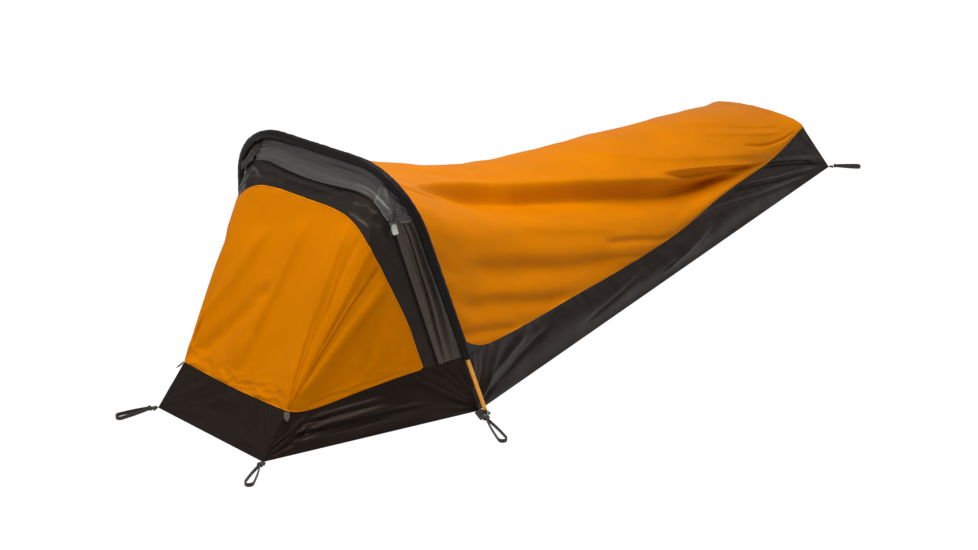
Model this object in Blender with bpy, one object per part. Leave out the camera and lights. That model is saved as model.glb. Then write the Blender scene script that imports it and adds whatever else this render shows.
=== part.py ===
"""Hooped bivy shelter: a one-person shell on a bathtub floor, held up at the head by one sleeved hoop.

Metres, +Z up. X is the width, Y runs from the head end (minus) to the foot end (plus), and the
origin is the middle of the groundsheet's underside.
"""

import math

import bmesh
import bpy
from mathutils import Matrix, Vector

# Plan of the groundsheet, with Y measured from its head edge
LENGTH = 2.35
HEAD_HALF = 0.177
HOOP_HALF = 0.385
FOOT_HALF = 0.230
HOOP_Y = 0.462

# Bathtub walls
HEAD_WALL_RISE = 0.088
HEAD_WALL_SETBACK = 0.080
HEAD_TOP_HALF = 0.171
FOOT_WALL_RISE = 0.143
FOOT_WALL_SETBACK = 0.083
FOOT_TOP_HALF = 0.170
FOOT_CROWN = 0.030
WALL_BULGE = 0.010
REAR_SEAM_SAG = 0.050
PUCKER_DEPTH = 0.0045
PUCKER_REACH = 0.16
PUCKER_SPREAD = 0.35
PUCKERS = 4
SEAM_HEIGHT = 0.140

# Hoop: straight legs, round shoulders and a flat crown, in a plane that leans over the head
POLE_FOOT_OUT = 0.025
POLE_FOOT_HALF = HOOP_HALF + POLE_FOOT_OUT
POLE_CROWN = 0.573
LEG_LEAN = math.radians(14.8)
SHOULDER_RADIUS = 0.185
HOOP_LEAN = math.radians(9.3)
POLE_RADIUS = 0.0046
POLE_BORE = 0.0034
POLE_SECTIONS = 4
FERRULE_LENGTH = 0.060
FERRULE_BORE = 0.0019
CORD_RADIUS = 0.0013
TIP_LENGTH = 0.014
TIP_SPIGOT = 0.016
TIP_STUB_RADIUS = 0.0028
TIP_STUB_START = 0.0025
TIP_STUB_LENGTH = 0.0053
TIP_CORE = 0.0006
SLEEVE_RADIUS = 0.0110
SLEEVE_WALL = 0.0010

# Cloth and seams
LEAST_SHARE = 0.002
HOOP_SEAM_ROOM = 0.0006
CLOTH = 0.0009
GAP = 0.0003
FLOOR_THICKNESS = 0.0012

# Bands of the hood, as distances from the hoop seam along the cloth
ZIP_LINE = 0.0705
ZIP_LINE_BEND = 0.046
ZIP_LINE_TOP = 0.058
ZIP_STRAIGHT_PAST_LEG = 0.100
ZIP_GAP = 0.0016
TAPE_WIDTH = 0.007
TAPE_THICKNESS = 0.0014
BORDER_AT_BASE = 0.030
BORDER_WIDTHS = ((0.0, 0.030), (0.11, 0.032), (0.22, 0.033), (0.34, 0.042), (0.475, 0.055),
                 (0.60, 0.073), (0.69, 0.064), (0.78, 0.052), (0.88, 0.041), (1.0, 0.038))
DOOR_TOE = 0.008
DOOR_EDGE_ROOM = 0.0008
DOOR_CORNER_ROOM = 0.004
LEG_PIECES = 5
BEND_PIECES = 10
FLAP_LEG_PIECES = 1
FLAP_BEND_PIECES = 2
WRINKLE_DEPTH = 0.0025
PLEATS = 3
PLEAT_DEPTH = 0.0032

# Zip sliders and their pulls
SLIDER_LENGTH = 0.012
SLIDER_PLATE = 0.0009
SLIDER_SPINE = 0.0010
SLIDER_CLEAR = 0.0004
EAR_RADIUS = 0.0022
EAR_WIDTH = 0.0010
PULL_WIDTH = 0.014
PULL_LENGTH = 0.038
PULL_THICKNESS = 0.0014
PULL_NECK_WIDTH = 0.0040
PULL_NECK_LENGTH = 0.007
PULL_CORNER = 0.002
TEETH_WIDTH = 0.0022
PULL_PIVOT_DOWN = SLIDER_LENGTH * 0.6
PULL_PIVOT_OUT = SLIDER_CLEAR + SLIDER_PLATE + EAR_RADIUS - 0.2 * SLIDER_PLATE
PULL_CENTRE = -TAPE_WIDTH * 0.32
PULL_KNUCKLE = EAR_RADIUS - EAR_WIDTH

# Peg loops and the webbing tabs that hold them
TAB_WIDTH = 0.016
TAB_THICKNESS = 0.0030
TAB_REACH = 0.014
TAB_NOTCH_OFF = GAP * 1.3
LOOP_HEIGHT = 0.010
LOOP_THICKNESS = 0.0018
LOOP_HALF_WIDTH = 0.0105
KNUCKLE_RADIUS = LOOP_HEIGHT / 2
LOOP_AXIS_HEIGHT = KNUCKLE_RADIUS + GAP
BOUND_ROOT_LENGTH = TAB_WIDTH * 0.75
CORNER_LOOP_LENGTH = 0.080
HOOP_LOOP_LENGTH = 0.105
HEAD_LOOP_TURNS = (math.radians(-60), math.radians(-72))
HOOP_LOOP_TURNS = (math.radians(-27), math.radians(8))
FOOT_LOOP_TURNS = (math.radians(35), math.radians(40))
HOOP_TAB_WIDTH = 0.024
GROMMET_BORE = 0.0046
GROMMET_BARREL = 0.0058
GROMMET_FLANGE = 0.0092
GROMMET_THICKNESS = 0.0010
HOOP_TAB_REACH = POLE_FOOT_OUT + GROMMET_FLANGE + 0.006

# Small webbing tabs at the tub's head corners
GEAR_TAB_WIDTH = 0.012
GEAR_TAB_LENGTH = 0.022
GEAR_TAB_THICKNESS = 0.0014
GEAR_TAB_SPLAY = 0.080
GEAR_TAB_OFF = 0.0030

# Gussets that fill the canopy's rounded corners behind the feet of the sleeve
GUSSET_HEIGHT = 0.085
GUSSET_LENGTH = 0.120
GUSSET_TIP_SHARE = 0.70

# Ridge of the canopy: share of the way to the foot, and share of the drop from hoop to foot
RIDGE_PROFILE = ((0.0, 0.0), (0.10, 0.27), (0.28, 0.555), (0.54, 0.695), (0.80, 0.81), (1.0, 1.0))
HOOP_SHAPE_SHARE = 0.55
HOOP_CROWDING_SHARE = 0.6

# Main folds: course as share along and share across, half-width as a share across, and rise
CANOPY_FOLDS = (
    (((0.01, 0.35), (0.20, 0.44), (0.42, 0.32), (0.62, 0.15), (0.80, 0.01)), 0.035, 0.008),
    (((0.03, 0.29), (0.20, 0.37), (0.42, 0.24), (0.60, 0.09), (0.72, 0.00)), 0.045, -0.014),
    (((0.42, 0.36), (0.54, 0.25), (0.68, 0.13), (0.86, 0.02)), 0.024, -0.009),
    (((0.60, 0.42), (0.72, 0.30), (0.86, 0.14), (0.98, 0.05)), 0.035, -0.006),
    (((0.02, 0.20), (0.12, 0.15), (0.24, 0.09), (0.36, 0.03)), 0.030, -0.008),
    (((0.00, 0.11), (0.06, 0.09), (0.12, 0.06), (0.20, 0.03)), 0.022, -0.006),
)
DOOR_FOLDS = (
    (((0.02, 0.245), (0.50, 0.262), (1.02, 0.285)), 0.020, -0.007),
    (((0.02, 0.205), (0.50, 0.230), (1.02, 0.265)), 0.018, 0.006),
    (((0.00, 0.56), (0.50, 0.47), (1.00, 0.38)), 0.040, -0.007),
    (((0.10, 0.68), (0.60, 0.58), (1.02, 0.50)), 0.030, 0.005),
    (((0.02, 0.755), (0.50, 0.738), (1.02, 0.715)), 0.020, -0.007),
)

ORANGE = (0.66, 0.19, 0.005)
BLACK = (0.024, 0.020, 0.019)
BAND_BLACK = (0.042, 0.033, 0.033)
GREY = (0.115, 0.105, 0.095)
BROWN_GREY = (0.060, 0.047, 0.038)
WEBBING = (0.045, 0.034, 0.028)
POLE_ORANGE = (1.0, 0.38, 0.013)
WHITE = (0.72, 0.74, 0.68)
STEEL = (0.45, 0.45, 0.44)


def at(x, y, z):
    """A point given with Y from the head edge, as a point about the groundsheet's middle."""
    return Vector((x, y - LENGTH / 2, z))


def mix(a, b, share):
    return a + (b - a) * share


def ease(share):
    share = min(max(share, 0.0), 1.0)
    return share * share * (3 - 2 * share)


def arc(share):
    """Zero at both ends, one in the middle."""
    return math.sin(math.pi * min(max(share, 0.0), 1.0))


def hump(share):
    """Zero with no slope at both ends, one in the middle."""
    return arc(share) ** 2


def through(points, x):
    """A smooth curve through a few stations, flat-limited as a draughtsman's spline."""
    for k in range(len(points) - 1):
        if x <= points[k + 1][0]:
            break
    before, (x0, y0), (x1, y1) = points[max(k - 1, 0)], points[k], points[k + 1]
    after = points[min(k + 2, len(points) - 1)]
    slope_in = (y1 - before[1]) / (x1 - before[0])
    slope_out = (after[1] - y0) / (after[0] - x0)
    s, h = (x - x0) / (x1 - x0), x1 - x0
    return ((2 * s ** 3 - 3 * s * s + 1) * y0 + (s ** 3 - 2 * s * s + s) * h * slope_in
            + (3 * s * s - 2 * s ** 3) * y1 + (s ** 3 - s * s) * h * slope_out)


# Hoop geometry

def hoop_lengths(inset):
    """Leg, shoulder and half-crown lengths of the hoop's line moved inwards by inset."""
    radius = SHOULDER_RADIUS - inset
    crown = POLE_CROWN - inset
    turn = math.pi / 2 - LEG_LEAN
    leg_rise = crown - radius * (1 - math.sin(LEG_LEAN))
    foot = POLE_FOOT_HALF - inset / math.cos(LEG_LEAN)
    leg = leg_rise / math.cos(LEG_LEAN)
    half_crown = foot - leg * math.sin(LEG_LEAN) - radius * math.cos(LEG_LEAN)
    return leg, radius * turn, half_crown


def hoop_point(inset, distance):
    """The point at a distance along the hoop's line, from its near foot up and over."""
    leg, shoulder, half_crown = hoop_lengths(inset)
    half = leg + shoulder + half_crown
    side = 1.0 if distance <= half else -1.0
    run = distance if side > 0 else 2 * half - distance
    radius = SHOULDER_RADIUS - inset
    foot = POLE_FOOT_HALF - inset / math.cos(LEG_LEAN)
    if run <= leg:
        across, up = foot - run * math.sin(LEG_LEAN), run * math.cos(LEG_LEAN)
    elif run <= leg + shoulder:
        angle = LEG_LEAN + (run - leg) / radius
        across = half_crown + radius * math.cos(angle)
        up = POLE_CROWN - inset - radius + radius * math.sin(angle)
    else:
        across, up = half - run, POLE_CROWN - inset
    return at(side * across, HOOP_Y - up * math.sin(HOOP_LEAN), up * math.cos(HOOP_LEAN))


SEAM_INSET = SLEEVE_RADIUS + 1.5 * GAP
SEAM_LEG, SEAM_SHOULDER, SEAM_CROWN = hoop_lengths(SEAM_INSET)
SEAM_FOOT = SEAM_HEIGHT / math.cos(HOOP_LEAN) / math.cos(LEG_LEAN)
SEAM_HALF = SEAM_LEG + SEAM_SHOULDER + SEAM_CROWN - SEAM_FOOT
LEG_SHARE = (SEAM_LEG - SEAM_FOOT) / SEAM_HALF
SHOULDER_SHARE = LEG_SHARE + SEAM_SHOULDER / SEAM_HALF


def seam(share):
    """The seam under the sleeve: 0 at the near tub corner, 1 at the crown, 2 at the far corner."""
    return hoop_point(SEAM_INSET, SEAM_FOOT + share * SEAM_HALF)


# Tub corners, near side; the far side is their mirror image
HEAD_FOOT = at(HEAD_HALF, 0, 0)
HOOP_FOOT = at(HOOP_HALF, HOOP_Y, 0)
TOE_FOOT = at(FOOT_HALF, LENGTH, 0)
HEAD_TOP = at(HEAD_TOP_HALF, HEAD_WALL_SETBACK, HEAD_WALL_RISE)
HOOP_TOP = seam(0.0)
TOE_TOP = at(FOOT_TOP_HALF, LENGTH - FOOT_WALL_SETBACK, FOOT_WALL_RISE)


def mirrored(point, side):
    return Vector((point.x * side, point.y, point.z))


def tub_edge(share):
    """The tub's top edge at the head, in step with seam(): side edge, corner, front edge."""
    side = 1.0
    if share > 1:
        share, side = 2 - share, -1.0
    if share <= LEG_SHARE:
        point = HOOP_TOP.lerp(HEAD_TOP, share / LEG_SHARE)
    elif share <= SHOULDER_SHARE:
        point = HEAD_TOP.copy()
    else:
        centre = Vector((0, HEAD_TOP.y, HEAD_TOP.z))
        point = HEAD_TOP.lerp(centre, (share - SHOULDER_SHARE) / (1 - SHOULDER_SHARE))
    return mirrored(point, side)


def ruling(share, distance):
    """A point of the straight line from the hoop seam to the tub's edge."""
    top, bottom = seam(share), tub_edge(share)
    return top + (bottom - top).normalized() * distance


def band_start(distance):
    """Where a band at this distance from the hoop seam runs out at the tub's side edge."""
    widest = (seam(LEG_SHARE) - tub_edge(LEG_SHARE)).length
    return LEG_SHARE * distance / widest


ZIP_BASE_SHARE = band_start(ZIP_LINE)
ZIP_BEND_SHARE = LEG_SHARE + ZIP_STRAIGHT_PAST_LEG / SEAM_HALF
ZIP_BASE, ZIP_BEND = tub_edge(ZIP_BASE_SHARE), ruling(ZIP_BEND_SHARE, ZIP_LINE_BEND)
ZIP_RISE = (ZIP_BEND - ZIP_BASE).normalized()
EDGE_WAY = (HOOP_TOP - ZIP_BASE).normalized()
TAPE_WAY = (EDGE_WAY - ZIP_RISE * EDGE_WAY.dot(ZIP_RISE)).normalized()
TAPE_BASE_SHARE = ZIP_BASE_SHARE - TAPE_WIDTH / EDGE_WAY.dot(TAPE_WAY) * (
    LEG_SHARE / (HOOP_TOP - HEAD_TOP).length)
LEG_SPAN = LEG_PIECES / (2 * (LEG_PIECES + BEND_PIECES))
FLAP_SHARE = mix(ZIP_BEND_SHARE, TAPE_BASE_SHARE, FLAP_LEG_PIECES / LEG_PIECES)
BROW_SHARE = mix(ZIP_BEND_SHARE, 1, FLAP_BEND_PIECES / BEND_PIECES)


def along_zip(u, base):
    """The share of the hoop for a place along a band that starts at base: leg, bend and leg."""
    if u <= LEG_SPAN:
        return mix(base, ZIP_BEND_SHARE, u / LEG_SPAN)
    if u >= 1 - LEG_SPAN:
        return 2 - mix(base, ZIP_BEND_SHARE, (1 - u) / LEG_SPAN)
    return mix(ZIP_BEND_SHARE, 2 - ZIP_BEND_SHARE, (u - LEG_SPAN) / (1 - 2 * LEG_SPAN))


def zip_line(share):
    """The middle of the zip: straight from the tub's side edge, then round under the hoop."""
    near = min(share, 2 - share)
    if near >= ZIP_BEND_SHARE:
        way = ease((near - ZIP_BEND_SHARE) / (1 - ZIP_BEND_SHARE))
        return ruling(share, mix(ZIP_LINE_BEND, ZIP_LINE_TOP, way))
    way = (near - ZIP_BASE_SHARE) / (ZIP_BEND_SHARE - ZIP_BASE_SHARE)
    return mirrored(ZIP_BASE.lerp(ZIP_BEND, way), 1.0 if share <= 1 else -1.0)


def tape_edge(share):
    """The shell-side edge of the zip tape, which is flat as far as the zip runs straight."""
    near, side = min(share, 2 - share), 1.0 if share <= 1 else -1.0
    if near <= ZIP_BEND_SHARE:
        base = tub_edge(TAPE_BASE_SHARE)
        way = (near - TAPE_BASE_SHARE) / (ZIP_BEND_SHARE - TAPE_BASE_SHARE)
        return mirrored(base.lerp(ZIP_BEND + TAPE_WAY * TAPE_WIDTH, way), side)
    middle = zip_line(share)
    up = (seam(share) - middle).normalized()
    blend = ease((near - ZIP_BEND_SHARE) / (0.5 * (1 - ZIP_BEND_SHARE)))
    return middle + mirrored(TAPE_WAY, side).lerp(up, blend).normalized() * TAPE_WIDTH


def shell_cloth(stops, side=1.0):
    """Shell cloth between the hoop seam and the zip tape, through equal runs between its stops.

    Without a first stop it starts at the tub's edge.
    """

    def surface(u, w):
        start = max(TAPE_BASE_SHARE * w, LEAST_SHARE) if stops[0] is None else stops[0]
        marks = (start, *stops[1:])
        run = min(int(u * (len(marks) - 1)), len(marks) - 2)
        share = mix(marks[run], marks[run + 1], u * (len(marks) - 1) - run)
        if share < TAPE_BASE_SHARE:
            return mirrored(seam(share).lerp(tub_edge(share), w * TAPE_BASE_SHARE / share), side)
        return mirrored(seam(share).lerp(tape_edge(share), w), side)

    return surface


def shell_tape(u, w):
    """The shell's half of the zip: w is 0 at its sewn edge and 1 at the zip line."""
    return tape_edge(along_zip(u, TAPE_BASE_SHARE)).lerp(zip_line(along_zip(u, ZIP_BASE_SHARE)), w)


def door_cloth(share, distance):
    """A point of the door, at a distance from the zip line towards the tub's edge."""
    middle = zip_line(share)
    return middle + (tub_edge(share) - middle).normalized() * distance


def door_start(distance):
    """Where a band of the door, at this distance from the zip, runs out at the tub's edge."""
    reach = (zip_line(LEG_SHARE) - tub_edge(LEG_SHARE)).length
    room = DOOR_EDGE_ROOM * LEG_SHARE / (HOOP_TOP - HEAD_TOP).length
    return mix(ZIP_BASE_SHARE, LEG_SHARE, distance / reach) + room


def border_width(share):
    """The door border's width: narrow at the tub, widest at the shoulders."""
    near = min(share, 2 - share)
    return through(BORDER_WIDTHS, (near - ZIP_BASE_SHARE) / (1 - ZIP_BASE_SHARE))


def rear_edge(v):
    """The near seam between tub and canopy, from the hoop to the foot corner."""
    return HOOP_TOP.lerp(TOE_TOP, v) - Vector((0, 0, REAR_SEAM_SAG * arc(v)))


def gusset_edge(v):
    """How far up the canopy the gusset reaches, as a share of its width: a round corner."""
    back = max(1 - v * (TOE_TOP - HOOP_TOP).length / GUSSET_LENGTH, 0.0)
    return (1 - math.sqrt(1 - back * back)) * GUSSET_HEIGHT / (2 * SEAM_HALF)


def canopy(u, v):
    """The long rear canopy: u from the near tub seam over the ridge, v from hoop to foot."""
    arch, foot_angle = seam(2 * u), math.pi * u
    low, high = seam(0.0), seam(1.0)
    wide = arch.x / low.x
    tall = (arch.z - low.z) / (high.z - low.z)
    keep = 1 - ease(v / HOOP_SHAPE_SHARE)
    wide = mix(math.cos(foot_angle), wide, keep)
    tall = mix(math.sin(foot_angle), tall, keep)
    edge = rear_edge(v)
    ridge_foot = TOE_TOP.z + FOOT_CROWN
    ridge = mix(high.z, ridge_foot, through(RIDGE_PROFILE, v))
    y = mix(edge.y, mix(high.y, TOE_TOP.y, v), tall)
    return Vector((edge.x * wide, y, mix(edge.z, ridge, tall)))


def inside_of(point):
    """A point inside the shelter, level with the given one, to tell a panel's outer side."""
    y = min(max(point.y, at(0, HOOP_Y, 0).y), at(0, LENGTH * 0.8, 0).y)
    return Vector((0, y, 0.05))


def normal_of(surface, u, w):
    step = 1e-3
    u0, u1 = max(u - step, 0), min(u + step, 1)
    w0, w1 = max(w - step, 0), min(w + step, 1)
    normal = (surface(u1, w) - surface(u0, w)).cross(surface(u, w1) - surface(u, w0)).normalized()
    here = surface(u, w)
    return normal if normal.dot(here - inside_of(here)) > 0 else -normal


def inner_share(surface, u, w, trims):
    """The place u, w of a panel after its four edges are trimmed by real distances."""
    step = 0.004
    row_start = (surface(step, w) - surface(0, w)).length / step
    row_end = (surface(1, w) - surface(1 - step, w)).length / step
    u = mix(trims[0] / row_start, 1 - trims[1] / row_end, u)
    column_start = (surface(u, step) - surface(u, 0)).length / step
    column_end = (surface(u, 1) - surface(u, 1 - step)).length / step
    w = mix(trims[2] / column_start, 1 - trims[3] / column_end, w)
    return u, w


# Mesh builders

def material_for(name, colour, roughness, metallic):
    material = bpy.data.materials.new(name)
    material.use_nodes = True
    shader = material.node_tree.nodes["Principled BSDF"]
    shader.inputs["Base Color"].default_value = (*colour, 1)
    shader.inputs["Roughness"].default_value = roughness
    shader.inputs["Metallic"].default_value = metallic
    material.diffuse_color = (*colour, 1)
    return material


def add_object(name, mesh, colour, roughness=0.75, metallic=0.0, sharp=35):
    created = bpy.data.objects.new(name, mesh)
    bpy.context.scene.collection.objects.link(created)
    mesh.materials.append(material_for(name, colour, roughness, metallic))
    mesh.shade_smooth()
    mesh.set_sharp_from_angle(angle=math.radians(sharp))
    return created


def mesh_from(name, vertices, faces):
    mesh = bpy.data.meshes.new(name)
    mesh.from_pydata([tuple(v) for v in vertices], [], faces)
    shape = bmesh.new()
    shape.from_mesh(mesh)
    bmesh.ops.recalc_face_normals(shape, faces=shape.faces)
    shape.to_mesh(mesh)
    shape.free()
    mesh.update()
    return mesh


def panel(name, surface, counts, colour, relief=None, wall=CLOTH):
    """A sewn panel: two skins of a surface, a wall apart, its edges set back from the seams."""
    across, along = counts
    vertices = []
    for skin in (0, 1):
        trim = GAP / 2 + wall * skin
        for i in range(across + 1):
            for j in range(along + 1):
                u, w = inner_share(surface, i / across, j / along, (trim,) * 4)
                height = (relief(i / across, j / along) if relief else 0.0) - wall * skin
                vertices.append(surface(u, w) + normal_of(surface, u, w) * height)
    layer = (across + 1) * (along + 1)

    def index(skin, i, j):
        return skin * layer + i * (along + 1) + j

    faces = []
    for i in range(across):
        for j in range(along):
            quad = [(i, j), (i + 1, j), (i + 1, j + 1), (i, j + 1)]
            a, b, c, d = [vertices[index(0, *corner)] for corner in quad]
            if (a - c).length > (b - d).length:
                quad = quad[1:] + quad[:1]
            for corners in (quad[:3], quad[2:] + quad[:1]):
                faces.append([index(0, *corner) for corner in corners])
                faces.append([index(1, *corner) for corner in reversed(corners)])
    rim = ([(i, 0) for i in range(across)] + [(across, j) for j in range(along)]
           + [(i, along) for i in range(across, 0, -1)] + [(0, j) for j in range(along, 0, -1)])
    for k, corner in enumerate(rim):
        following = rim[(k + 1) % len(rim)]
        faces.append([index(0, *corner), index(1, *corner), index(1, *following), index(0, *following)])
    return add_object(name, mesh_from(name, vertices, faces), colour)


def wall_surface(low_rail, high_rail, bulge_to):
    """A tub wall between its foot on the groundsheet and its top seam, bellied outwards."""
    base = Vector((0, 0, FLOOR_THICKNESS + GAP / 2))

    def surface(u, w):
        return (low_rail(u) + base).lerp(high_rail(u), w) + bulge_to * hump(w) * arc(u)

    return surface


def line(start, end):
    return lambda u: start.lerp(end, u)


def prism(name, outline, low, high, axes="xyz"):
    """A flat outline raised from low to high; axes name its two ways and the way it is raised."""
    first, second, rise = ["xyz".index(axis) for axis in axes]
    count = len(outline)
    vertices = [Vector() for _ in range(2 * count)]
    for k, vertex in enumerate(vertices):
        vertex[first], vertex[second] = outline[k % count]
        vertex[rise] = low if k < count else high
    faces = [list(range(count))[::-1], list(range(count, 2 * count))]
    faces += [[k, (k + 1) % count, count + (k + 1) % count, count + k] for k in range(count)]
    return mesh_from(name, vertices, faces)


def rod(name, radius, length, sides, axis="Z"):
    """A cylinder about one of the axes, its middle on the origin."""
    turn = {"X": Matrix.Rotation(math.pi / 2, 4, "Y"), "Y": Matrix.Rotation(math.pi / 2, 4, "X"),
            "Z": Matrix.Identity(4)}[axis]
    shape = bmesh.new()
    bmesh.ops.create_cone(shape, cap_ends=True, segments=sides, radius1=radius, radius2=radius,
                          depth=length, matrix=turn)
    mesh = bpy.data.meshes.new(name)
    shape.to_mesh(mesh)
    shape.free()
    return mesh


def combine(target, mesh, operation, place=None):
    """Join a mesh to an object or cut it away, by a hidden tool that stays beside it."""
    tool = bpy.data.objects.new(mesh.name, mesh)
    bpy.context.scene.collection.objects.link(tool)
    tool.hide_render = True
    tool.display_type = "WIRE"
    tool.matrix_world = place or target.matrix_world
    change = target.modifiers.new(mesh.name, "BOOLEAN")
    change.operation = operation
    change.solver = "EXACT"
    change.object = tool


def turned(name, profile, sides):
    """A closed profile of radius and height pairs, turned about the Z axis."""
    vertices, faces = [], []
    count = len(profile)
    for k in range(sides):
        angle = 2 * math.pi * k / sides
        vertices += [(r * math.cos(angle), r * math.sin(angle), z) for r, z in profile]
    for k in range(sides):
        following = (k + 1) % sides
        for p in range(count):
            q = (p + 1) % count
            faces.append([k * count + p, following * count + p, following * count + q, k * count + q])
    return mesh_from(name, vertices, faces)


def swept(name, path, radius, bore, sides):
    """A tube along a path that lies in the hoop's plane; a bore of 0 makes it solid."""
    plane_normal = Vector((0, math.cos(HOOP_LEAN), math.sin(HOOP_LEAN)))
    rings, radii = len(path), [radius] + ([bore] if bore else [])
    vertices, faces = [], []
    for ring_radius in radii:
        for k, point in enumerate(path):
            tangent = (path[min(k + 1, rings - 1)] - path[max(k - 1, 0)]).normalized()
            sideways = tangent.cross(plane_normal)
            for s in range(sides):
                angle = 2 * math.pi * s / sides
                offset = sideways * math.cos(angle) + plane_normal * math.sin(angle)
                vertices.append(point + offset * ring_radius)
    for skin in range(len(radii)):
        first = skin * rings * sides
        for k in range(rings - 1):
            for s in range(sides):
                t = (s + 1) % sides
                a, b = first + k * sides, first + (k + 1) * sides
                faces.append([a + s, a + t, b + t, b + s])
    last = (rings - 1) * sides
    if bore:
        inner = rings * sides
        for s in range(sides):
            t = (s + 1) % sides
            faces.append([s, inner + s, inner + t, t])
            faces.append([last + s, last + t, inner + last + t, inner + last + s])
    else:
        faces += [list(range(sides))[::-1], list(range(last, last + sides))]
    return mesh_from(name, vertices, faces)


def hoop_path(inset, start, stop, step=0.017):
    """Points along the hoop's line, close together only round the shoulders."""
    leg, shoulder, half_crown = hoop_lengths(inset)
    half = leg + shoulder + half_crown
    marks = {start, stop}
    for low, high in ((leg, leg + shoulder), (2 * half - leg - shoulder, 2 * half - leg)):
        pieces = max(round((high - low) / step), 1)
        marks.update(mix(low, high, k / pieces) for k in range(pieces + 1))
    return [hoop_point(inset, mark) for mark in sorted(marks) if start <= mark <= stop]


# Sub-parts

def build_floor():
    plan = [HEAD_FOOT, HOOP_FOOT, TOE_FOOT]
    outline = [(p.x, p.y) for p in plan] + [(-p.x, p.y) for p in reversed(plan)]
    add_object("groundsheet", prism("groundsheet", outline, 0.0, FLOOR_THICKNESS), BLACK)


def corner_puckers(u, w):
    """Gathers that spread from both ends of a tub wall's foot."""
    depth = 0.0
    for way in (u, 1 - u):
        depth += math.exp(-way / PUCKER_REACH) * math.sin(PUCKERS * 2 * math.pi * w / (way + PUCKER_SPREAD))
    return PUCKER_DEPTH * depth * arc(u) * hump(w)


def build_tub():
    forward, rearward = Vector((0, -WALL_BULGE / 2, 0)), Vector((0, WALL_BULGE / 2, 0))
    far_foot, far_top = mirrored(HEAD_FOOT, -1), mirrored(HEAD_TOP, -1)
    head = wall_surface(line(far_foot, HEAD_FOOT), line(far_top, HEAD_TOP), forward)
    panel("tub_head_wall", head, (14, 5), BLACK, corner_puckers)
    for side, word in ((1, "near"), (-1, "far")):
        outward = Vector((side * WALL_BULGE, 0, 0))
        foot, hoop, toe = [mirrored(p, side) for p in (HEAD_FOOT, HOOP_FOOT, TOE_FOOT)]
        top, hoop_top = mirrored(HEAD_TOP, side), mirrored(HOOP_TOP, side)
        side_wall = wall_surface(line(foot, hoop), line(top, hoop_top), outward)
        panel(f"tub_side_head_{word}", side_wall, (14, 5), BLACK, corner_puckers)

        def rear_top(u, side=side):
            return mirrored(rear_edge(u), side)

        side_wall = wall_surface(line(hoop, toe), rear_top, outward)
        panel(f"tub_side_foot_{word}", side_wall, (20, 5), BLACK, corner_puckers)
    far_toe = mirrored(TOE_FOOT, -1)
    foot_wall = wall_surface(line(far_toe, TOE_FOOT), lambda u: canopy(1 - u, 1), rearward)
    panel("tub_foot_wall", foot_wall, (12, 5), BLACK)


def folds(courses, u, v):
    """The rise of a few rounded creases, each along its course and faded out at both ends."""
    rise = 0.0
    for course, half_width, height in courses:
        start, stop = course[0][0], course[-1][0]
        if start < v < stop:
            off = (u - through(course, v)) / half_width
            rise += height * math.exp(-off * off) * arc((v - start) / (stop - start))
    return rise


def build_canopy():
    length = (TOE_TOP - HOOP_TOP).length

    def along(w):
        return mix(HOOP_SEAM_ROOM / length, 1, mix(w, w * w, HOOP_CROWDING_SHARE))

    def place(u, w):
        edge = gusset_edge(along(w))
        return mix(edge, 1 - edge, u), along(w)

    def creases(u, w):
        around, v = place(u, w)
        return (folds(CANOPY_FOLDS, around, v) + folds(CANOPY_FOLDS, 1 - around, v)) * arc(u)

    panel("rear_canopy", lambda u, w: canopy(*place(u, w)), (26, 22), ORANGE, creases)
    reach = GUSSET_TIP_SHARE * GUSSET_LENGTH / length
    for side, word in ((1, "near"), (-1, "far")):

        def gusset(u, w, side=side):
            v = mix(HOOP_SEAM_ROOM / length, reach, mix(w, w * w, HOOP_CROWDING_SHARE))
            return mirrored(canopy(mix(0, gusset_edge(v), u), v), side)

        panel(f"hoop_gusset_{word}", gusset, (3, 8), BLACK)


def build_hood():
    """Pleated panels along the legs, wrinkled flaps at the shoulders and the brow between them."""

    def pleats(u, w):
        return PLEAT_DEPTH * math.sin(2 * math.pi * PLEATS * w) * arc(u) * arc(w)

    def wrinkles(u, w):
        return WRINKLE_DEPTH * math.sin(9 * u + 5 * w) * arc(u) * arc(w)

    for side, word in ((1, "near"), (-1, "far")):
        leg_rows, flap_rows = 2 * (LEG_PIECES - FLAP_LEG_PIECES), 2 * FLAP_BEND_PIECES
        panel(f"side_panel_{word}", shell_cloth((None, FLAP_SHARE), side), (leg_rows, 12), BROWN_GREY, pleats)
        end_cloth = shell_cloth((FLAP_SHARE, ZIP_BEND_SHARE, BROW_SHARE), side)
        panel(f"brow_end_{word}", end_cloth, (flap_rows, 8), GREY, wrinkles)
    brow = shell_cloth((BROW_SHARE, 2 - BROW_SHARE))
    panel("brow", brow, (2 * (BEND_PIECES - FLAP_BEND_PIECES), 4), GREY)


def build_zip_tapes():
    pieces = 2 * (LEG_PIECES + BEND_PIECES)
    panel("zip_tape_shell", shell_tape, (pieces, 1), BLACK, wall=TAPE_THICKNESS)

    def door_side(u, w):
        distance = ZIP_GAP + TAPE_WIDTH * w
        return door_cloth(along_zip(u, door_start(distance)), distance)

    panel("zip_tape_door", door_side, (pieces, 1), BLACK, wall=TAPE_THICKNESS)


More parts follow.
